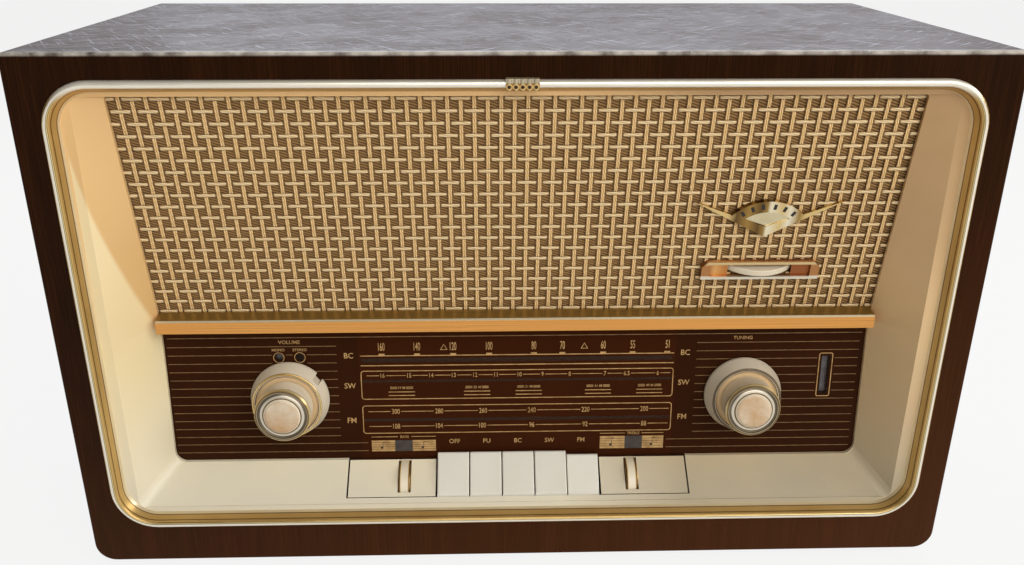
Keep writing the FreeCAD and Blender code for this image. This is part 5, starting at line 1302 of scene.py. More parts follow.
CLASP_GILT = ClaspMetal("brass_clasp_gilt", base="#c6a25e", rubbed="#e6cf98", roughness=0.34, metallic=0.5)
DARK_BRASS = SheetMetal("brass_bead_darkened", base="#5a4c3c", rubbed="#85755c", roughness=0.34,
                        metallic=0.6)
PALE_NICKEL = SheetMetal("brass_nickel_satin", base="#b5a37c", rubbed="#d8cba8", roughness=0.3)
BADGE_GILT = BadgeMetal("brass_badge_gilt", base="#94743e", rubbed="#d0b276", roughness=0.22)
BALANCE_GOLD = BalanceMetal("aluminium_gold_anodised", base="#b67e48", rubbed="#e0c48e", roughness=0.34,
                            metallic=0.6)
WHEEL_GILT = SheetMetal("brass_wheel_gilt", base="#b98a3c", rubbed="#d9b469", roughness=0.3)
BAR_GOLD = BarMetal("aluminium_gold_brushed_bar")
ZINC = SheetMetal("steel_zinc_plated", base="#8f9294", rubbed="#b7babb", roughness=0.42, brush=Brush.PLATED)
BRIGHT_CAN = SheetMetal("aluminium_bright_can", base="#a9adb0", rubbed="#c6cacc", roughness=0.34,
                        brush=Brush.PLATED)
CORE_STEEL = SheetMetal("steel_core_varnished", base="#3b3733", rubbed="#57514a", roughness=0.5,
                        brush=Brush.PLATED)
GLASS = DialGlass("glass_dial_back_printed")
TUBE_GLASS = ClearGlass("glass_valve_blown")
CLOTH = Woven("cotton_brown_twill", shadow="#5a3f1d", lit="#a37d48", spacing=1.9, slant=(0.35, 0.0, 1.0))
CORD = Woven("cotton_tan_double_cord", shadow="#d6aa6c", lit="#f0d29c", spacing=1.5, slant=(1.0, 0.0, 0.35),
             depth=0.06, patch_size=7.0, dip_shade="#74552b")
RIBBON = Woven("cotton_pale_ribbon", shadow="#d2b27f", lit="#efdab0", spacing=1.5, slant=(0.2, 0.0, 1.0),
               depth=0.06, patch_size=7.0, dip_shade="#7a5a32")
DIAL_CORD = Woven("linen_dial_cord", shadow="#8d7a50", lit="#c9b888", spacing=0.8, slant=(1.0, 0.6, 0.6),
                  depth=0.05)
BOARD = PressedBoard("hardboard_pressed")
BAFFLE = PressedBoard("chipboard_dark_stained", base="#3a2a1b", fleck="#22170e")
PAPER = PressedBoard("paper_cone_pressed", base="#211e1c", fleck="#131110", fibre=0.9)
INK = PrintInk("ink_bronze_screened", base="#c29c64", thin="#a07c48")
INK_DIM = PrintInk("ink_bronze_thin_line", base="#86683e", thin="#6a5030")
INK_GREY = PrintInk("ink_grey_screened", base="#443b35", thin="#332c27")
INLAY = PrintInk("enamel_dark_inlay", base="#2a2320", thin="#1a1614")
PHOSPHOR = PrintInk("phosphor_coating_pale", base="#b4b6bc", thin="#98999f")
BACKDROP = BackdropPaper("paper_backdrop_matt")


# Sub-assemblies

@dataclass
class SolidParts:
    """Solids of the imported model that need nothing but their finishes."""

    finishes: dict = field(default_factory=dict)

    def dress(self) -> None:
        """Give the solids their finishes."""
        for finish, names in self.finishes.items():
            finish.dress(*names)


@dataclass
class Cabinet(SolidParts):
    """Wooden case with its feet, back cover, side grilles and gilt trim."""

    finishes: dict = field(default_factory=lambda: {
        WALNUT: ("cabinet_case", "front_board"), RING_GILT: ("trim_ring",), CLASP_GILT: ("trim_clasp",),
        RUBBER: ("feet",), BOARD: ("back_cover",), ZINC: ("back_cover_screws",),
        IVORY: ("side_grilles", "escutcheon"), PAPER: ("side_speakers",)})


@dataclass
class Works(SolidParts):
    """Everything behind the front: chassis, drive, controls and loudspeakers."""

    finishes: dict = field(default_factory=lambda: {
        BAFFLE: ("baffle_board",), PAPER: ("speaker_cones",), DIAL_CORD: ("dial_cords",),
        ZINC: ("chassis", "drive_plate", "key_frame", "key_pivot_rod", "key_springs", "pointer_rails",
               "speaker_frames", "volume_shaft", "mode_sleeve", "fm_tuning_shaft", "am_sleeve",
               "am_pointer", "fm_pointer"),
        BRIGHT_CAN: ("volume_pot", "tone_pots", "filter_capacitors", "tuning_capacitor"),
        CORE_STEEL: ("power_transformer", "output_transformers"),
        PHENOLIC: ("mode_switch",), TUBE_GLASS: ("valves", "tuning_eye", "dial_lamps"),
        KEY_WHITE: ("am_drum", "fm_drum", "dial_backplate")})


@dataclass
class Grille:
    """Leaning cloth with a plain weave of pale double cords over it."""

    half_width: float = 258.0
    head: float = 2.3
    foot: float = -161.5
    pitch_across: float = 8.268
    pitch_up: float = 8.28
    first_column: float = -243.55
    first_row: float = -2.6
    cord_half: float = 1.25
    cord_thick: float = 0.5
    ribbon_half: float = 1.12
    ribbon_thick: float = 0.45
    middle: float = -1.15
    swing: float = 0.44
    cloth_out: float = -2.3
    slot: tuple = (165.5, -127.25, 29.5, 4.0)
    cord_dive: Pair = (0.76, 0.92)
    ribbon_dive: Pair = (0.62, 0.84)
    cord_shape: tuple = ((-1.0, 0.0), (-0.85, 0.75), (-0.55, 1.0), (-0.22, 0.75), (0.0, -0.1), (0.22, 0.75),
                         (0.55, 1.0), (0.85, 0.75), (1.0, 0.0), (0.0, -0.8))
    nearest: float = 0.2
    ribbon_shape: tuple = ((-1.0, 0.0), (-0.75, 0.75), (-0.35, 1.0), (0.0, 0.86), (0.35, 1.0), (0.75, 0.75),
                           (1.0, 0.0), (0.0, -0.9))

    def stretches(self, low: float, high: float, offset: float, gap: tuple) -> list[tuple[float, float]]:
        """Split a strand where it would cross the slot of the balance control.

        Args:
            low: the strand's start.
            high: its end.
            offset: how far the strand's line is from the slot's middle.
            gap: the slot's middle along the strand, half length along it and half width across it.

        Returns:
            Start and end of each remaining stretch.
        """
        middle, half, wide = gap
        if abs(offset) > wide:
            return [(low, high)]
        return [(low, middle - half), (middle + half, high)]

    def strand(self, draft: Draft, upright: bool, line: float, start: float, end: float,
               over: float) -> None:
        """Add one strand that lies high and dives under every second crossing.

        Args:
            draft: the piece that gets it.
            upright: whether it runs up the grille.
            line: its place across (or up) the grille.
            start: where it starts along its run.
            end: where it ends.
            over: the place along its run of one crossing that it passes over.
        """
        pitch = self.pitch_up if upright else self.pitch_across
        first, last = self.cord_dive if upright else self.ribbon_dive
        stops = np.array([0.0, first / 2, *np.linspace(first, last, 4), 1.0])
        stops = np.unique(np.concatenate([stops, 2 - stops]))[:-1]
        low, high = (start - over) / (2 * pitch), (end - over) / (2 * pitch)
        turns = np.arange(math.floor(low), math.ceil(high) + 1)
        run = over + pitch * (2 * turns[:, None] + stops[None, :]).ravel()
        within = run[(run > start + self.nearest) & (run < end - self.nearest)]
        run = np.concatenate([[start], within, [end]])[:, None]
        count = len(run)
        dive = np.clip((1 - np.abs((run - over) / pitch % 2 - 1) - first) / (last - first), 0, 1)
        wave = 1 - 2 * dive * dive * (3 - 2 * dive)
        shape = np.array(self.cord_shape if upright else self.ribbon_shape)
        half, thick = (self.cord_half, self.cord_thick) if upright else (self.ribbon_half, self.ribbon_thick)
        out = self.middle + self.swing * wave + thick * shape[None, :, 1]
        side = line + half * shape[None, :, 0] + 0 * run
        along = run + 0 * side
        points = GRILLE.points(side, along, out) if upright else GRILLE.points(along, -side + 2 * line, out)
        draft.loops(points.reshape(count, len(shape), 3), closed_ends=True)

    def build(self) -> None:
        """Weave the strands and stretch the cloth behind them."""
        across, up, long_half, tall_half = self.slot
        uprights, levels = Draft(), Draft()
        columns = int((2 * self.half_width) / self.pitch_across)
        rows = int((self.first_row - self.foot) / self.pitch_up) + 1
        for column in range(-1, columns):
            x = self.first_column + column * self.pitch_across
            if x > self.half_width - self.cord_half:
                break
            over = self.first_row - self.pitch_up * (column % 2)
            gap = (up, tall_half, long_half)
            for start, end in self.stretches(self.foot, self.head, x - across, gap):
                self.strand(uprights, True, x, start, end, over)
        for row in range(rows):
            y = self.first_row - row * self.pitch_up
            over = self.first_column - self.pitch_across * ((row + 1) % 2)
            for start, end in self.stretches(-self.half_width, self.half_width, y - up,
                                             (across, long_half, tall_half)):
                self.strand(levels, False, y, start, end, over)
        strands = [uprights.piece("grille_upright_cords", CORD, "cabinet", "grille_fabric", True),
                   levels.piece("grille_level_ribbons", RIBBON, "cabinet", "grille_fabric", True)]
        cloth = Draft()
        edges_x = [-self.half_width, across - long_half, across + long_half, self.half_width]
        edges_y = [self.foot, up - tall_half, up + tall_half, self.head]
        x, y = np.meshgrid(edges_x, edges_y)
        faces = [(4 * j + i, 4 * j + i + 1, 4 * j + i + 5, 4 * j + i + 4)
                 for j in range(3) for i in range(3) if (i, j) != (1, 1)]
        cloth.add(GRILLE.points(x, y, self.cloth_out + 0 * x), faces)
        sheet = cloth.piece("grille_backing_cloth", CLOTH, "cabinet", "grille_fabric", False)
        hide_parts("grille_cloth")


@dataclass
class GrilleFittings:
    """Bare chevron badge and the balance control on the grille."""

    badge: Pair = (164.0, -74.25)
    band_radii: Pair = (26.6, 30.4)
    band_centre: float = -31.6
    band_front: float = 3.6
    mark_angles: tuple = (126.0, 112.0, 98.0, 82.0, 68.0, 54.0)
    mark_half: float = 1.05
    fan_radius: float = 24.2
    fan_half_angle: float = 41.0
    fan_crotch: float = -18.4
    fan_out: Pair = (1.1, 1.4)
    mark_lift: Pair = (-0.15, 0.1)
    rib_count: int = 7
    rib_span: float = 21.0
    rib_half: float = 0.16
    rib_foot: Pair = (-15.2, 6.0)
    rib_head: Pair = (-10.4, -3.4)
    rib_out: Pair = (1.3, 1.5)

    def build(self) -> None:
        """Dress the fittings and lay the badge's dark inlay and fan ribs."""
        BADGE_GILT.dress("badge")
        BALANCE_GOLD.dress("balance_surround")
        WHEEL_WHITE.dress("balance_wheel")
        x, y = self.badge
        marks = Draft()
        inner, outer = self.band_radii
        for degrees in self.mark_angles:
            angle = math.radians(degrees)
            along = np.array([math.cos(angle), math.sin(angle)])
            aside = self.mark_half * np.array([-math.sin(angle), math.cos(angle)])
            corners = np.array([inner * along - aside, outer * along - aside,
                                outer * along + aside, inner * along + aside])
            corners = corners + np.array([x, y + self.band_centre])
            rings = [GRILLE.points(corners[:, 0], corners[:, 1], self.band_front + lift)
                     for lift in self.mark_lift]
            marks.loops(np.array(rings), closed_ends=True)
        marks.piece("badge_band_marks", INLAY, "cabinet", "gilt_metal", False)
        fan = Draft()
        turn = np.radians(np.linspace(90 + self.fan_half_angle, 90 - self.fan_half_angle, 33))
        across = np.append(x + self.fan_radius * np.cos(turn), x)
        up = np.append(y + self.band_centre + self.fan_radius * np.sin(turn), y + self.fan_crotch)
        fan.loops(np.array([GRILLE.points(across, up, out) for out in self.fan_out]), closed_ends=True)
        fan.piece("badge_fan_face", PALE_NICKEL, "cabinet", "gilt_metal", False)
        ribs = Draft()
        for step in range(self.rib_count):
            share = step / (self.rib_count - 1) - 0.5
            left = x + share * self.rib_span
            foot, head = (y + level + slope * abs(share) for level, slope in (self.rib_foot, self.rib_head))
            ribs.slab(GRILLE, (left - self.rib_half, left + self.rib_half), (foot, head), self.rib_out)
        ribs.piece("badge_fan_ribs", NICKEL_GILT, "cabinet", "gilt_metal", False)


@dataclass
class Dial:
    """Brown dial glass with its printed scales, the gold bar over it and the indicator's strip.

    Lengths are millimetres across and up the glass from its middle. A word has its middle, level, text,
    height and width share; a row has its level, height and width share; a figure has its middle and text.
    """

    line_half: float = 0.3
    ink_out: Pair = (0.02, 0.08)
    side_left: Pair = (-249.0, -129.5)
    side_right: Pair = (129.0, 247.0)
    side_first: float = 39.3
    side_pitch: float = 6.38
    side_lines: int = 12
    low_lines: Pair = (-36.9, -43.3)
    low_reach: float = 110.0
    top_line: float = 46.0
    box_half: float = 112.8
    words: tuple = ((-162.6, 42.6, "VOLUME", 2.7, 1.05), (162.0, 42.8, "TUNING", 2.6, 1.0),
                    (-170.6, 36.7, "MONO", 2.0, 1.05), (-155.4, 36.7, "STEREO", 2.0, 1.05),
                    (-121.0, 31.9, "BC", 4.2, 0.95), (-121.0, 8.6, "SW", 4.2, 0.95),
                    (-121.0, -18.7, "FM", 4.2, 0.95), (121.0, 31.9, "BC", 4.2, 0.95),
                    (121.0, 8.6, "SW", 4.2, 0.95), (121.0, -18.7, "FM", 4.2, 0.95),
                    (-83.2, -32.3, "BASS", 2.1, 1.0), (85.5, -31.6, "TREBLE", 2.1, 0.95),
                    (-46.5, -36.4, "OFF", 3.5, 0.95), (-22.8, -36.4, "PU", 3.5, 0.95),
                    (0.2, -36.4, "BC", 3.5, 0.95), (23.5, -36.4, "SW", 3.5, 0.95),
                    (46.8, -36.4, "FM", 3.5, 0.95))
    medium: tuple = ((-97.4, "160"), (-72.1, "140"), (-46.3, "120"), (-20.5, "100"), (11.5, "80"),
                     (32.0, "70"), (61.4, "60"), (82.6, "55"), (107.7, "51"))
    short: tuple = ((-97.4, "16"), (-78.3, "15"), (-62.3, "14"), (-46.2, "13"), (-30.7, "12"), (-15.8, "11"),
                    (1.4, "10"), (17.9, "9"), (37.6, "8"), (63.2, "7"), (79.0, "6.5"), (101.6, "6"))
    channels: tuple = ((-88.9, "300"), (-57.3, "280"), (-25.3, "260"), (10.3, "240"), (49.7, "220"),
                       (92.9, "200"))
    fm: tuple = ((-88.7, "108"), (-57.4, "104"), (-25.8, "100"), (10.4, "96"), (49.6, "92"), (92.9, "88"))
    metre_bands: tuple = ((-84.0, "19 M"), (-29.5, "25 M"), (8.0, "31 M"), (58.5, "41 M"), (96.0, "49 M"))
    station_marks: tuple = (-53.0, 47.8)
    scale_boxes: tuple = ((-2.1, 19.8), (-29.3, -7.4))
    box_corner: float = 2.0
    eye_frame: tuple = (219.0, 228.6, -3.4, 30.2)
    eye_strip: tuple = (222.5, 226.5, -3.0, 30.0)
    eye_corner: float = 1.3
    fine_half: float = 0.24
    bold_half: float = 0.34
    top_half: float = 0.26
    top_reach: float = 248.0
    word_gap: Pair = (1.0, 0.8)
    row_margins: Pair = (4.0, 2.0)
    bold_levels: Pair = (31.5, 24.0)
    medium_row: Triple = (38.4, 6.2, 0.42)
    medium_tick: Triple = (2.1, 31.8, 33.1)
    short_row: Triple = (16.2, 3.4, 0.8)
    channel_row: Triple = (-12.0, 4.0, 0.72)
    fm_row: Triple = (-23.8, 4.0, 0.72)
    metre_row: Triple = (6.6, 2.0, 0.95)
    metre_dash: Pair = (5.0, 0.16)
    metre_lifts: Triple = (-0.7, 0.0, 0.7)
    metre_levels: Pair = (3.4, 0.6)
    metre_half: float = 9.5
    station_level: float = 37.2
    station_radii: Pair = (3.1, 2.3)
    window_ring: Pair = (3.5, 3.95)
    window_gap: float = 5.0
    window_near: float = 4.5
    eye_gap: float = 1.5
    eye_near: float = 1.0
    tone_titles: tuple = ((-32.3, -107.5, -60.4, 5.0, -83.2), (-31.6, 60.9, 108.1, 6.2, 85.5))
    tone_frames: tuple = ((-107.5, -60.4, -90.3, -77.4, -44.0, -35.2),
                          (60.9, 108.1, 79.3, 92.3, -43.9, -33.9))
    stave_lines: int = 4
    stave_half: float = 0.14
    under: float = 0.03
    stave_drop: float = 0.01
    note_hole: float = 0.05
    note_head: Triple = (-1.2, 3.0, 1.0)
    note_stem: Pair = (-0.55, -0.2)
    note_beam: float = 1.6
    note_top: Pair = (1.7, 1.2)
    axle: float = 0.02
    flag_dot: Triple = (2.4, -8.0, -4.4)
    strip_out: Pair = (-5.4, -4.2)

    def rule(self, draft: Draft, left: float, right: float, level: float, half: float | None = None) -> None:
        """Print a level line.

        Args:
            draft: the print that gets it.
            left: its left end.
            right: its right end.
            level: its place up the glass.
            half: half its width, or None for the usual one.
        """
        half = self.line_half if half is None else half
        draft.slab(DIAL, (left, right), (level - half, level + half), self.ink_out)

    def word(self, draft: Draft, x: float, level: float, text: str, height: float, share: float) -> float:
        """Print letters or figures about a place.

        Args:
            draft: the print that gets them.
            x: their middle.
            level: their mid height.
            text: what is printed.
            height: height of the capitals.
            share: width share of the letters.

        Returns:
            Half the printed width.
        """
        points, faces = letters(text, height, share)
        low, high = self.ink_out
        out = low + (high - low) * points[:, 2]
        draft.add(DIAL.points(points[:, 0] + x, points[:, 1] + level, out), faces)
        return float(points[:, 0].max())

    def outline(self, draft: Draft, across: tuple, up: tuple, corner: float) -> None:
        """Print a box's outline with rounded corners.

        Args:
            draft: the print that gets it.
            across: its left and right edge.
            up: its lower and upper edge.
            corner: the corners' radius.
        """
        low, high = self.ink_out
        loops = []
        for grow, out in ((self.line_half, low), (self.line_half, high), (-self.line_half, high),
                          (-self.line_half, low)):
            radius = corner + grow
            x, y = [], []
            for quarter in range(4):
                turn = np.radians(np.linspace(90 * quarter, 90 * quarter + 90, 7))
                right, upper = quarter in (0, 3), quarter in (0, 1)
                x.append(across[right] + corner * (1 - 2 * right) + radius * np.cos(turn))
                y.append(up[upper] + corner * (1 - 2 * upper) + radius * np.sin(turn))
            loops.append(DIAL.points(np.concatenate(x), np.concatenate(y), out))
        draft.loops(np.array(loops + loops[:1]), closed_ends=False)

    def figure_row(self, draft: Draft, level: float, row: tuple, height: float, share: float) -> None:
        """Print a row of figures with a line running between them.

        Args:
            draft: the print that gets it.
            level: the row's place up the glass.
            row: (place, figures) pairs from left to right.
            height: height of the figures.
            share: their width share.
        """
        pen = -self.box_half + self.row_margins[0]
        for x, text in row:
            half = self.word(draft, x, level, text, height, share) + self.word_gap[0]
            if x - half > pen:
                self.rule(draft, pen, x - half, level, self.fine_half)
            pen = x + half
        self.rule(draft, pen, self.box_half - self.row_margins[1], level, self.fine_half)

    def metre_band(self, draft: Draft, x: float, text: str) -> None:
        """Print a wave length with three dashes on each side and two lines under it.

        Args:
            draft: the print that gets it.
            x: its middle.
            text: what is printed.
        """
        level, height, share = self.metre_row
        length, thin = self.metre_dash
        half = self.word(draft, x, level, text, height, share) + self.word_gap[1]
        for side in (-1, 1):
            near, far = sorted((x + side * half, x + side * (half + length)))
            for lift in self.metre_lifts:
                self.rule(draft, near, far, level + lift, thin)
        for low in self.metre_levels:
            self.rule(draft, x - self.metre_half, x + self.metre_half, low)

    def station_mark(self, draft: Draft, x: float) -> None:
        """Print a small hollow triangle.

        Args:
            draft: the print that gets it.
            x: its middle.
        """
        outer, inner = self.station_radii
        for turn in range(3):
            first, last = (math.radians(90 + 120 * step) for step in (turn, turn + 1))
            corners = [(x + radius * math.cos(angle), self.station_level + radius * math.sin(angle))
                       for angle, radius in ((first, outer), (last, outer), (last, inner), (first, inner))]
            flat = np.array(corners * 2)
            draft.add(DIAL.points(flat[:, 0], flat[:, 1], np.repeat(self.ink_out, 4)),
                      [(3, 2, 1, 0), (4, 5, 6, 7), (0, 1, 5, 4), (2, 3, 7, 6)])

    def scales(self) -> None:
        """Print the three scales in the middle of the glass and the words about it."""
        draft = Draft()
        edge = self.box_half
        for level in self.bold_levels:
            self.rule(draft, -edge, edge, level, self.bold_half)
        for low, high in self.scale_boxes:
            self.outline(draft, (-edge, edge), (low, high), self.box_corner)
        level, height, share = self.medium_row
        tick, low, high = self.medium_tick
        for x, text in self.medium:
            self.word(draft, x, level, text, height, share)
            draft.slab(DIAL, (x - tick, x + tick), (low, high), self.ink_out)
        for row, (level, height, share) in ((self.short, self.short_row), (self.channels, self.channel_row),
                                            (self.fm, self.fm_row)):
            self.figure_row(draft, level, row, height, share)
        for x, text in self.metre_bands:
            self.metre_band(draft, x, text)
        for x in self.station_marks:
            self.station_mark(draft, x)
        for x, level, text, height, share in self.words:
            self.word(draft, x, level, text, height, share)
        low, high = self.ink_out
        inner, outer = self.window_ring
        for spot in MODE_WINDOWS:
            draft.turned(DIAL, spot, ((inner, low), (outer, low), (outer, high), (inner, high)), around=40)
        left, right, low, high = self.eye_frame
        self.outline(draft, (left, right), (low, high), self.eye_corner)
        for level, near, far, half, middle in self.tone_titles:
            self.rule(draft, near, middle - half, level, self.fine_half)
            self.rule(draft, middle + half, far, level, self.fine_half)
        draft.piece("dial_scale_print", INK, "cabinet", "dial_glass", False)

    def side_rules(self) -> None:
        """Print the fine lines at both ends and the line along the head."""
        draft = Draft()
        self.rule(draft, -self.top_reach, self.top_reach, self.top_line, self.top_half)
        outer, inner = self.side_left
        near, far = self.side_right
        (first, height), (second, _) = MODE_WINDOWS
        gap = self.window_gap
        left, right, low, high = self.eye_frame
        for step in range(self.side_lines):
            level = self.side_first - self.side_pitch * step
            spans = [self.side_left]
            if abs(level - height) < self.window_near:
                spans = [(outer, first - gap), (first + gap, second - gap), (second + gap, inner)]
            if low - self.eye_near < level < high + self.eye_near:
                spans += [(near, left - self.eye_gap), (right + self.eye_gap, far)]
            else:
                spans.append(self.side_right)
            for start, end in spans:
                self.rule(draft, start, end, level, self.fine_half)
        for level in self.low_lines:
            self.rule(draft, outer, -self.low_reach, level, self.fine_half)
            self.rule(draft, self.low_reach, far, level, self.fine_half)
        draft.piece("dial_side_lines", INK_DIM, "cabinet", "dial_glass", False)

    def tone_boxes(self) -> None:
        """Print the two barred boxes over the tone wheels with plain note marks."""
        gold, grey, notes = Draft(), Draft(), Draft()
        low, high = self.ink_out
        under = (low, low + self.under)
        shift, rise, round_half = self.note_head
        hole = self.note_hole
        head_profile = ((hole, low), (round_half, low), (round_half, high), (hole, high))
        for left, right, inner, outer, foot, head in self.tone_frames:
            for start, end in ((left, inner), (outer, right)):
                gold.slab(DIAL, (start, end), (foot, head), under)
                for step in range(self.stave_lines):
                    y = foot + (head - foot) * (step + 1) / (self.stave_lines + 1)
                    notes.slab(DIAL, (start, end), (y - self.stave_half, y + self.stave_half),
                               (low + self.under, high - self.stave_drop))
                x = (start + end) / 2
                stem, back = (x + side for side in self.note_stem)
                beam_low, beam_high = (head - drop for drop in self.note_top)
                notes.turned(DIAL, (x + shift, foot + rise), head_profile, around=16)
                notes.slab(DIAL, (stem, back), (foot + rise, beam_high), (low, high))
                notes.slab(DIAL, (stem, x + self.note_beam), (beam_low, beam_high), (low, high))
            grey.slab(DIAL, (inner, outer), (foot, head), under)
        gold.piece("dial_tone_bars", INK, "cabinet", "dial_glass", False)
        grey.piece("dial_tone_middles", INK_GREY, "cabinet", "dial_glass", False)
        notes.piece("dial_tone_marks", INLAY, "cabinet", "dial_glass", False)

    def build(self) -> None:
        """Dress the glass, print it and fit the indicator's coated strip."""
        GLASS.dress("dial_glass")
        BAR_GOLD.dress("divider_bar")
        self.scales()
        self.side_rules()
        self.tone_boxes()
        flag = Draft()
        radius, back, front = self.flag_dot
        flag.turned(DIAL, MODE_WINDOWS[0],
                    ((self.axle, back), (radius, back), (radius, front), (self.axle, front)), around=32)
        flag.piece("mode_flag_dot", PHOSPHOR, "mode", "zinc_steel", False)
        strip = Draft()
        left, right, low, high = self.eye_strip
        strip.slab(DIAL, (left, right), (low, high), self.strip_out)
        strip.piece("indicator_phosphor_strip", PHOSPHOR, "cabinet", "clear_glass", False)


@dataclass
class KnobPair:
    """Ring knob with the inner knob that stands in it."""

    x: float
    ring: str
    knob: str
    bezel: str
    ring_body: str
    knob_body: str
    bead: Finish
    rib_count: int = 110
    rib_low: float = 14.4
    rib_high: float = 28.6
    rib_depth: float = 0.3
    rib_chamfer: float = 0.4
    side_radius: float = 18.02
    side_start: float = 13.3
    side_taper: float = 0.05
    bead_profile: tuple = ((22.9, 14.2), (24.5, 14.0), (24.75, 14.3), (24.6, 14.7), (24.2, 14.95),
                           (23.6, 14.95), (23.1, 14.75))
    cap_profile: tuple = ((0.02, 32.9), (12.1, 32.9), (12.0, 33.1), (10.0, 33.25), (6.0, 33.4), (0.2, 33.45),
                          (0.02, 33.45))

    def build(self) -> None:
        """Dress the pair and add its inlaid line, ribbed side and polished cap."""
        KNOB_IVORY.dress(self.knob)
        DishedIvory(f"urea_{self.ring}_moulded", base="#e2d8c2", middle=self.x,
                    dirt_and_shade_reach=4.0).dress(self.ring)
        BezelMetal(f"brass_{self.bezel}_turned", base="#ab8e5a", rubbed="#d8c594", roughness=0.3,
                   metallic=0.6, middle=self.x).dress(self.bezel)
        centre = (self.x, 0.0)
        bead = Draft()
        bead.turned(DIAL, centre, self.bead_profile, around=96)
        bead.piece(self.ring + "_bright_bead", self.bead, self.ring_body, "gilt_metal", True)
        ribs = Draft()
        around = 2 * self.rib_count
        turn = np.linspace(0, 2 * math.pi, around, endpoint=False)
        wave = np.where(np.arange(around) % 2, self.rib_depth, 0.0)
        low, high, cut = self.rib_low, self.rib_high, self.rib_chamfer
        rings = []
        for out, lift in ((low, -self.rib_depth), (low + cut, wave), (high - cut, wave),
                          (high, -self.rib_depth)):
            radius = self.side_radius + (out - self.side_start) * self.side_taper + lift
            rings.append(DIAL.points(self.x + radius * np.cos(turn), radius * np.sin(turn), out))
        ribs.loops(np.array(rings), closed_ends=False)
        ribs.piece(self.knob + "_ribs", KNOB_IVORY, self.knob_body, "ivory_moulding", False)
        cap = Draft()
        cap.turned(DIAL, centre, self.cap_profile, around=72)
        cap.piece(self.knob + "_cap_face", CAP_IVORY, self.knob_body, "ivory_moulding", True)


@dataclass
class Controls:
    """Piano keys and the tone wheels in their flush panels."""

    keys: tuple = ("key_off", "key_phono", "key_medium", "key_short", "key_fm")
    panels: tuple = ("bass_panel", "treble_panel")
    wheels: tuple = (("bass_wheel", "bass", -83.0), ("treble_wheel", "treble", 83.0))
    wheel_along: float = 21.0
    wheel_out: float = -14.6
    wheel_half: float = 3.9
    rim_over: Pair = (-0.1, 0.3)
    rim_inner: float = 11.0
    rim_outer: Pair = (17.3, 17.1)

    def build(self) -> None:
        """Dress keys, panels and wheels, and add the wheels' gilt rims."""
        KEY_WHITE.dress(*self.keys)
        PANEL_IVORY.dress(*self.panels)
        turn = np.linspace(0, 2 * math.pi, 96, endpoint=False)
        for node, body, x in self.wheels:
            BandedIvory(f"polystyrene_{node}_moulded", base="#e6dcc6", middle=x, dirt_and_shade_reach=2.0).dress(node)
            for side in (-1, 1):
                rim = Draft()
                near, far = (x + side * (self.wheel_half + over) for over in self.rim_over)
                wide, narrow = self.rim_outer
                profile = ((self.rim_inner, near), (wide, near), (narrow, far), (self.rim_inner, far),
                           (self.rim_inner, near))
                rings = [APRON.points(across, self.wheel_along + radius * np.cos(turn),
                                      self.wheel_out + radius * np.sin(turn)) for radius, across in profile]
                rim.loops(np.array(rings), closed_ends=False)
                name = f"{node}_rim_{'left' if side < 0 else 'right'}"
                rim.piece(name, WHEEL_GILT, body, "gilt_metal", False)


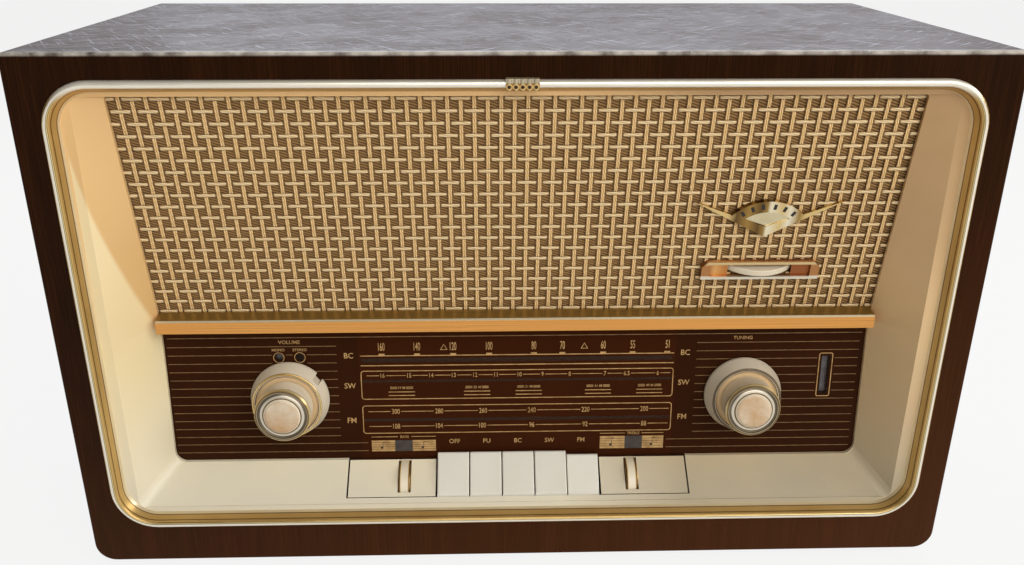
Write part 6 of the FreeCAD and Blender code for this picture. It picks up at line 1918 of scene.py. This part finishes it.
@dataclass
class Studio:
    """Pale floor, soft lamps and the camera at the photograph's angle."""

    camera_place: tuple = (-0.02126, -0.69939, 0.44783)
    camera_turn: tuple = (67.925, -0.129, -1.568)
    lens: float = 32.73
    sensor: float = 36.0
    lamps: tuple = (("key", (1.9, -0.45, 1.0), (-0.1, -0.12, 0.15), 0.9, 14.0, "#fffaf2"),
                    ("fill", (0.7, -2.1, 1.3), (0.0, -0.1, 0.18), 2.6, 45.0, "#fffaf4"),
                    ("top", (0.1, 1.1, 1.3), (0.0, 0.0, 0.3), 1.8, 18.0, "#eaf1ff"))
    lamp_flatness: float = 0.7
    floor_half: float = 60.0
    room: tuple = ((0.0, "#6a655f"), (0.5, "#85827e"), (1.0, "#dcdad6"))
    window: str = "#c8c8cc"
    window_span: Pair = (0.55, 0.95)
    room_strength: float = 0.7

    def floor(self) -> None:
        """Lay the pale paper floor."""
        mesh = bpy.data.meshes.new("studio_floor")
        size = self.floor_half
        corners = [(-size, -size, 0), (size, -size, 0), (size, size, 0), (-size, size, 0)]
        mesh.from_pydata(corners, [], [(0, 1, 2, 3)])
        mesh.materials.append(BACKDROP.material())
        floor = bpy.data.objects.new("studio_floor", mesh)
        bpy.context.scene.collection.objects.link(floor)

    def light(self) -> None:
        """Hang the lamps and set the room's own light."""
        for name, place, aim, size, power, colour in self.lamps:
            data = bpy.data.lights.new("lamp_" + name, "AREA")
            data.shape = "RECTANGLE"
            data.size, data.size_y = size, size * self.lamp_flatness
            data.energy = power
            data.color = linear(colour)[:3]
            lamp = bpy.data.objects.new("lamp_" + name, data)
            lamp.location = place
            lamp.rotation_euler = (Vector(aim) - Vector(place)).to_track_quat("-Z", "Y").to_euler()
            bpy.context.scene.collection.objects.link(lamp)
        world = bpy.data.worlds.new("studio_room")
        world.use_nodes = True
        bpy.context.scene.world = world
        tree = world.node_tree
        way = add_node(tree, "SeparateXYZ", {0: add_node(tree, "TexCoord").outputs["Generated"]})
        sky = add_node(tree, "MapRange", {0: way.outputs["X"], "From Min": -1.0, "From Max": 1.0})
        walls = add_node(tree, "ValToRGB", {0: sky}, stops=self.room)
        first, last = self.window_span
        window = add_node(tree, "MapRange", {0: way.outputs["Y"], "From Min": first, "From Max": last},
                          interpolation_type="SMOOTHSTEP")
        room = add_node(tree, "Mix", {0: window, 6: walls, 7: linear(self.window)}, data_type="RGBA")
        feed(tree, tree.nodes["Background"], {"Color": room, "Strength": self.room_strength})

    def camera(self) -> None:
        """Stand the camera where the photograph was taken."""
        data = bpy.data.cameras.new("camera")
        data.lens = self.lens
        data.sensor_width = self.sensor
        eye = bpy.data.objects.new("camera", data)
        eye.location = self.camera_place
        eye.rotation_euler = [math.radians(angle) for angle in self.camera_turn]
        bpy.context.scene.collection.objects.link(eye)
        bpy.context.scene.camera = eye

    def build(self) -> None:
        """Set up floor, light and camera."""
        self.floor()
        self.light()
        self.camera()
        bpy.context.scene.view_settings.view_transform = "Standard"


def main() -> None:
    """Dress the set, build what the solids lack, and set up the studio."""
    logging.basicConfig(level=logging.INFO, format="%(message)s")
    Cabinet().dress()
    Works().dress()
    Grille().build()
    GrilleFittings().build()
    Dial().build()
    KnobPair(-164.0, "mode_ring", "volume_knob", "volume_bezel", "mode", "volume", NICKEL_GILT).build()
    KnobPair(164.0, "am_tuning_ring", "fm_tuning_knob", "fm_tuning_bezel", "am_tuning", "fm_tuning",
             DARK_BRASS).build()
    Controls().build()
    Studio().build()


if __name__ == "__main__":
    main()
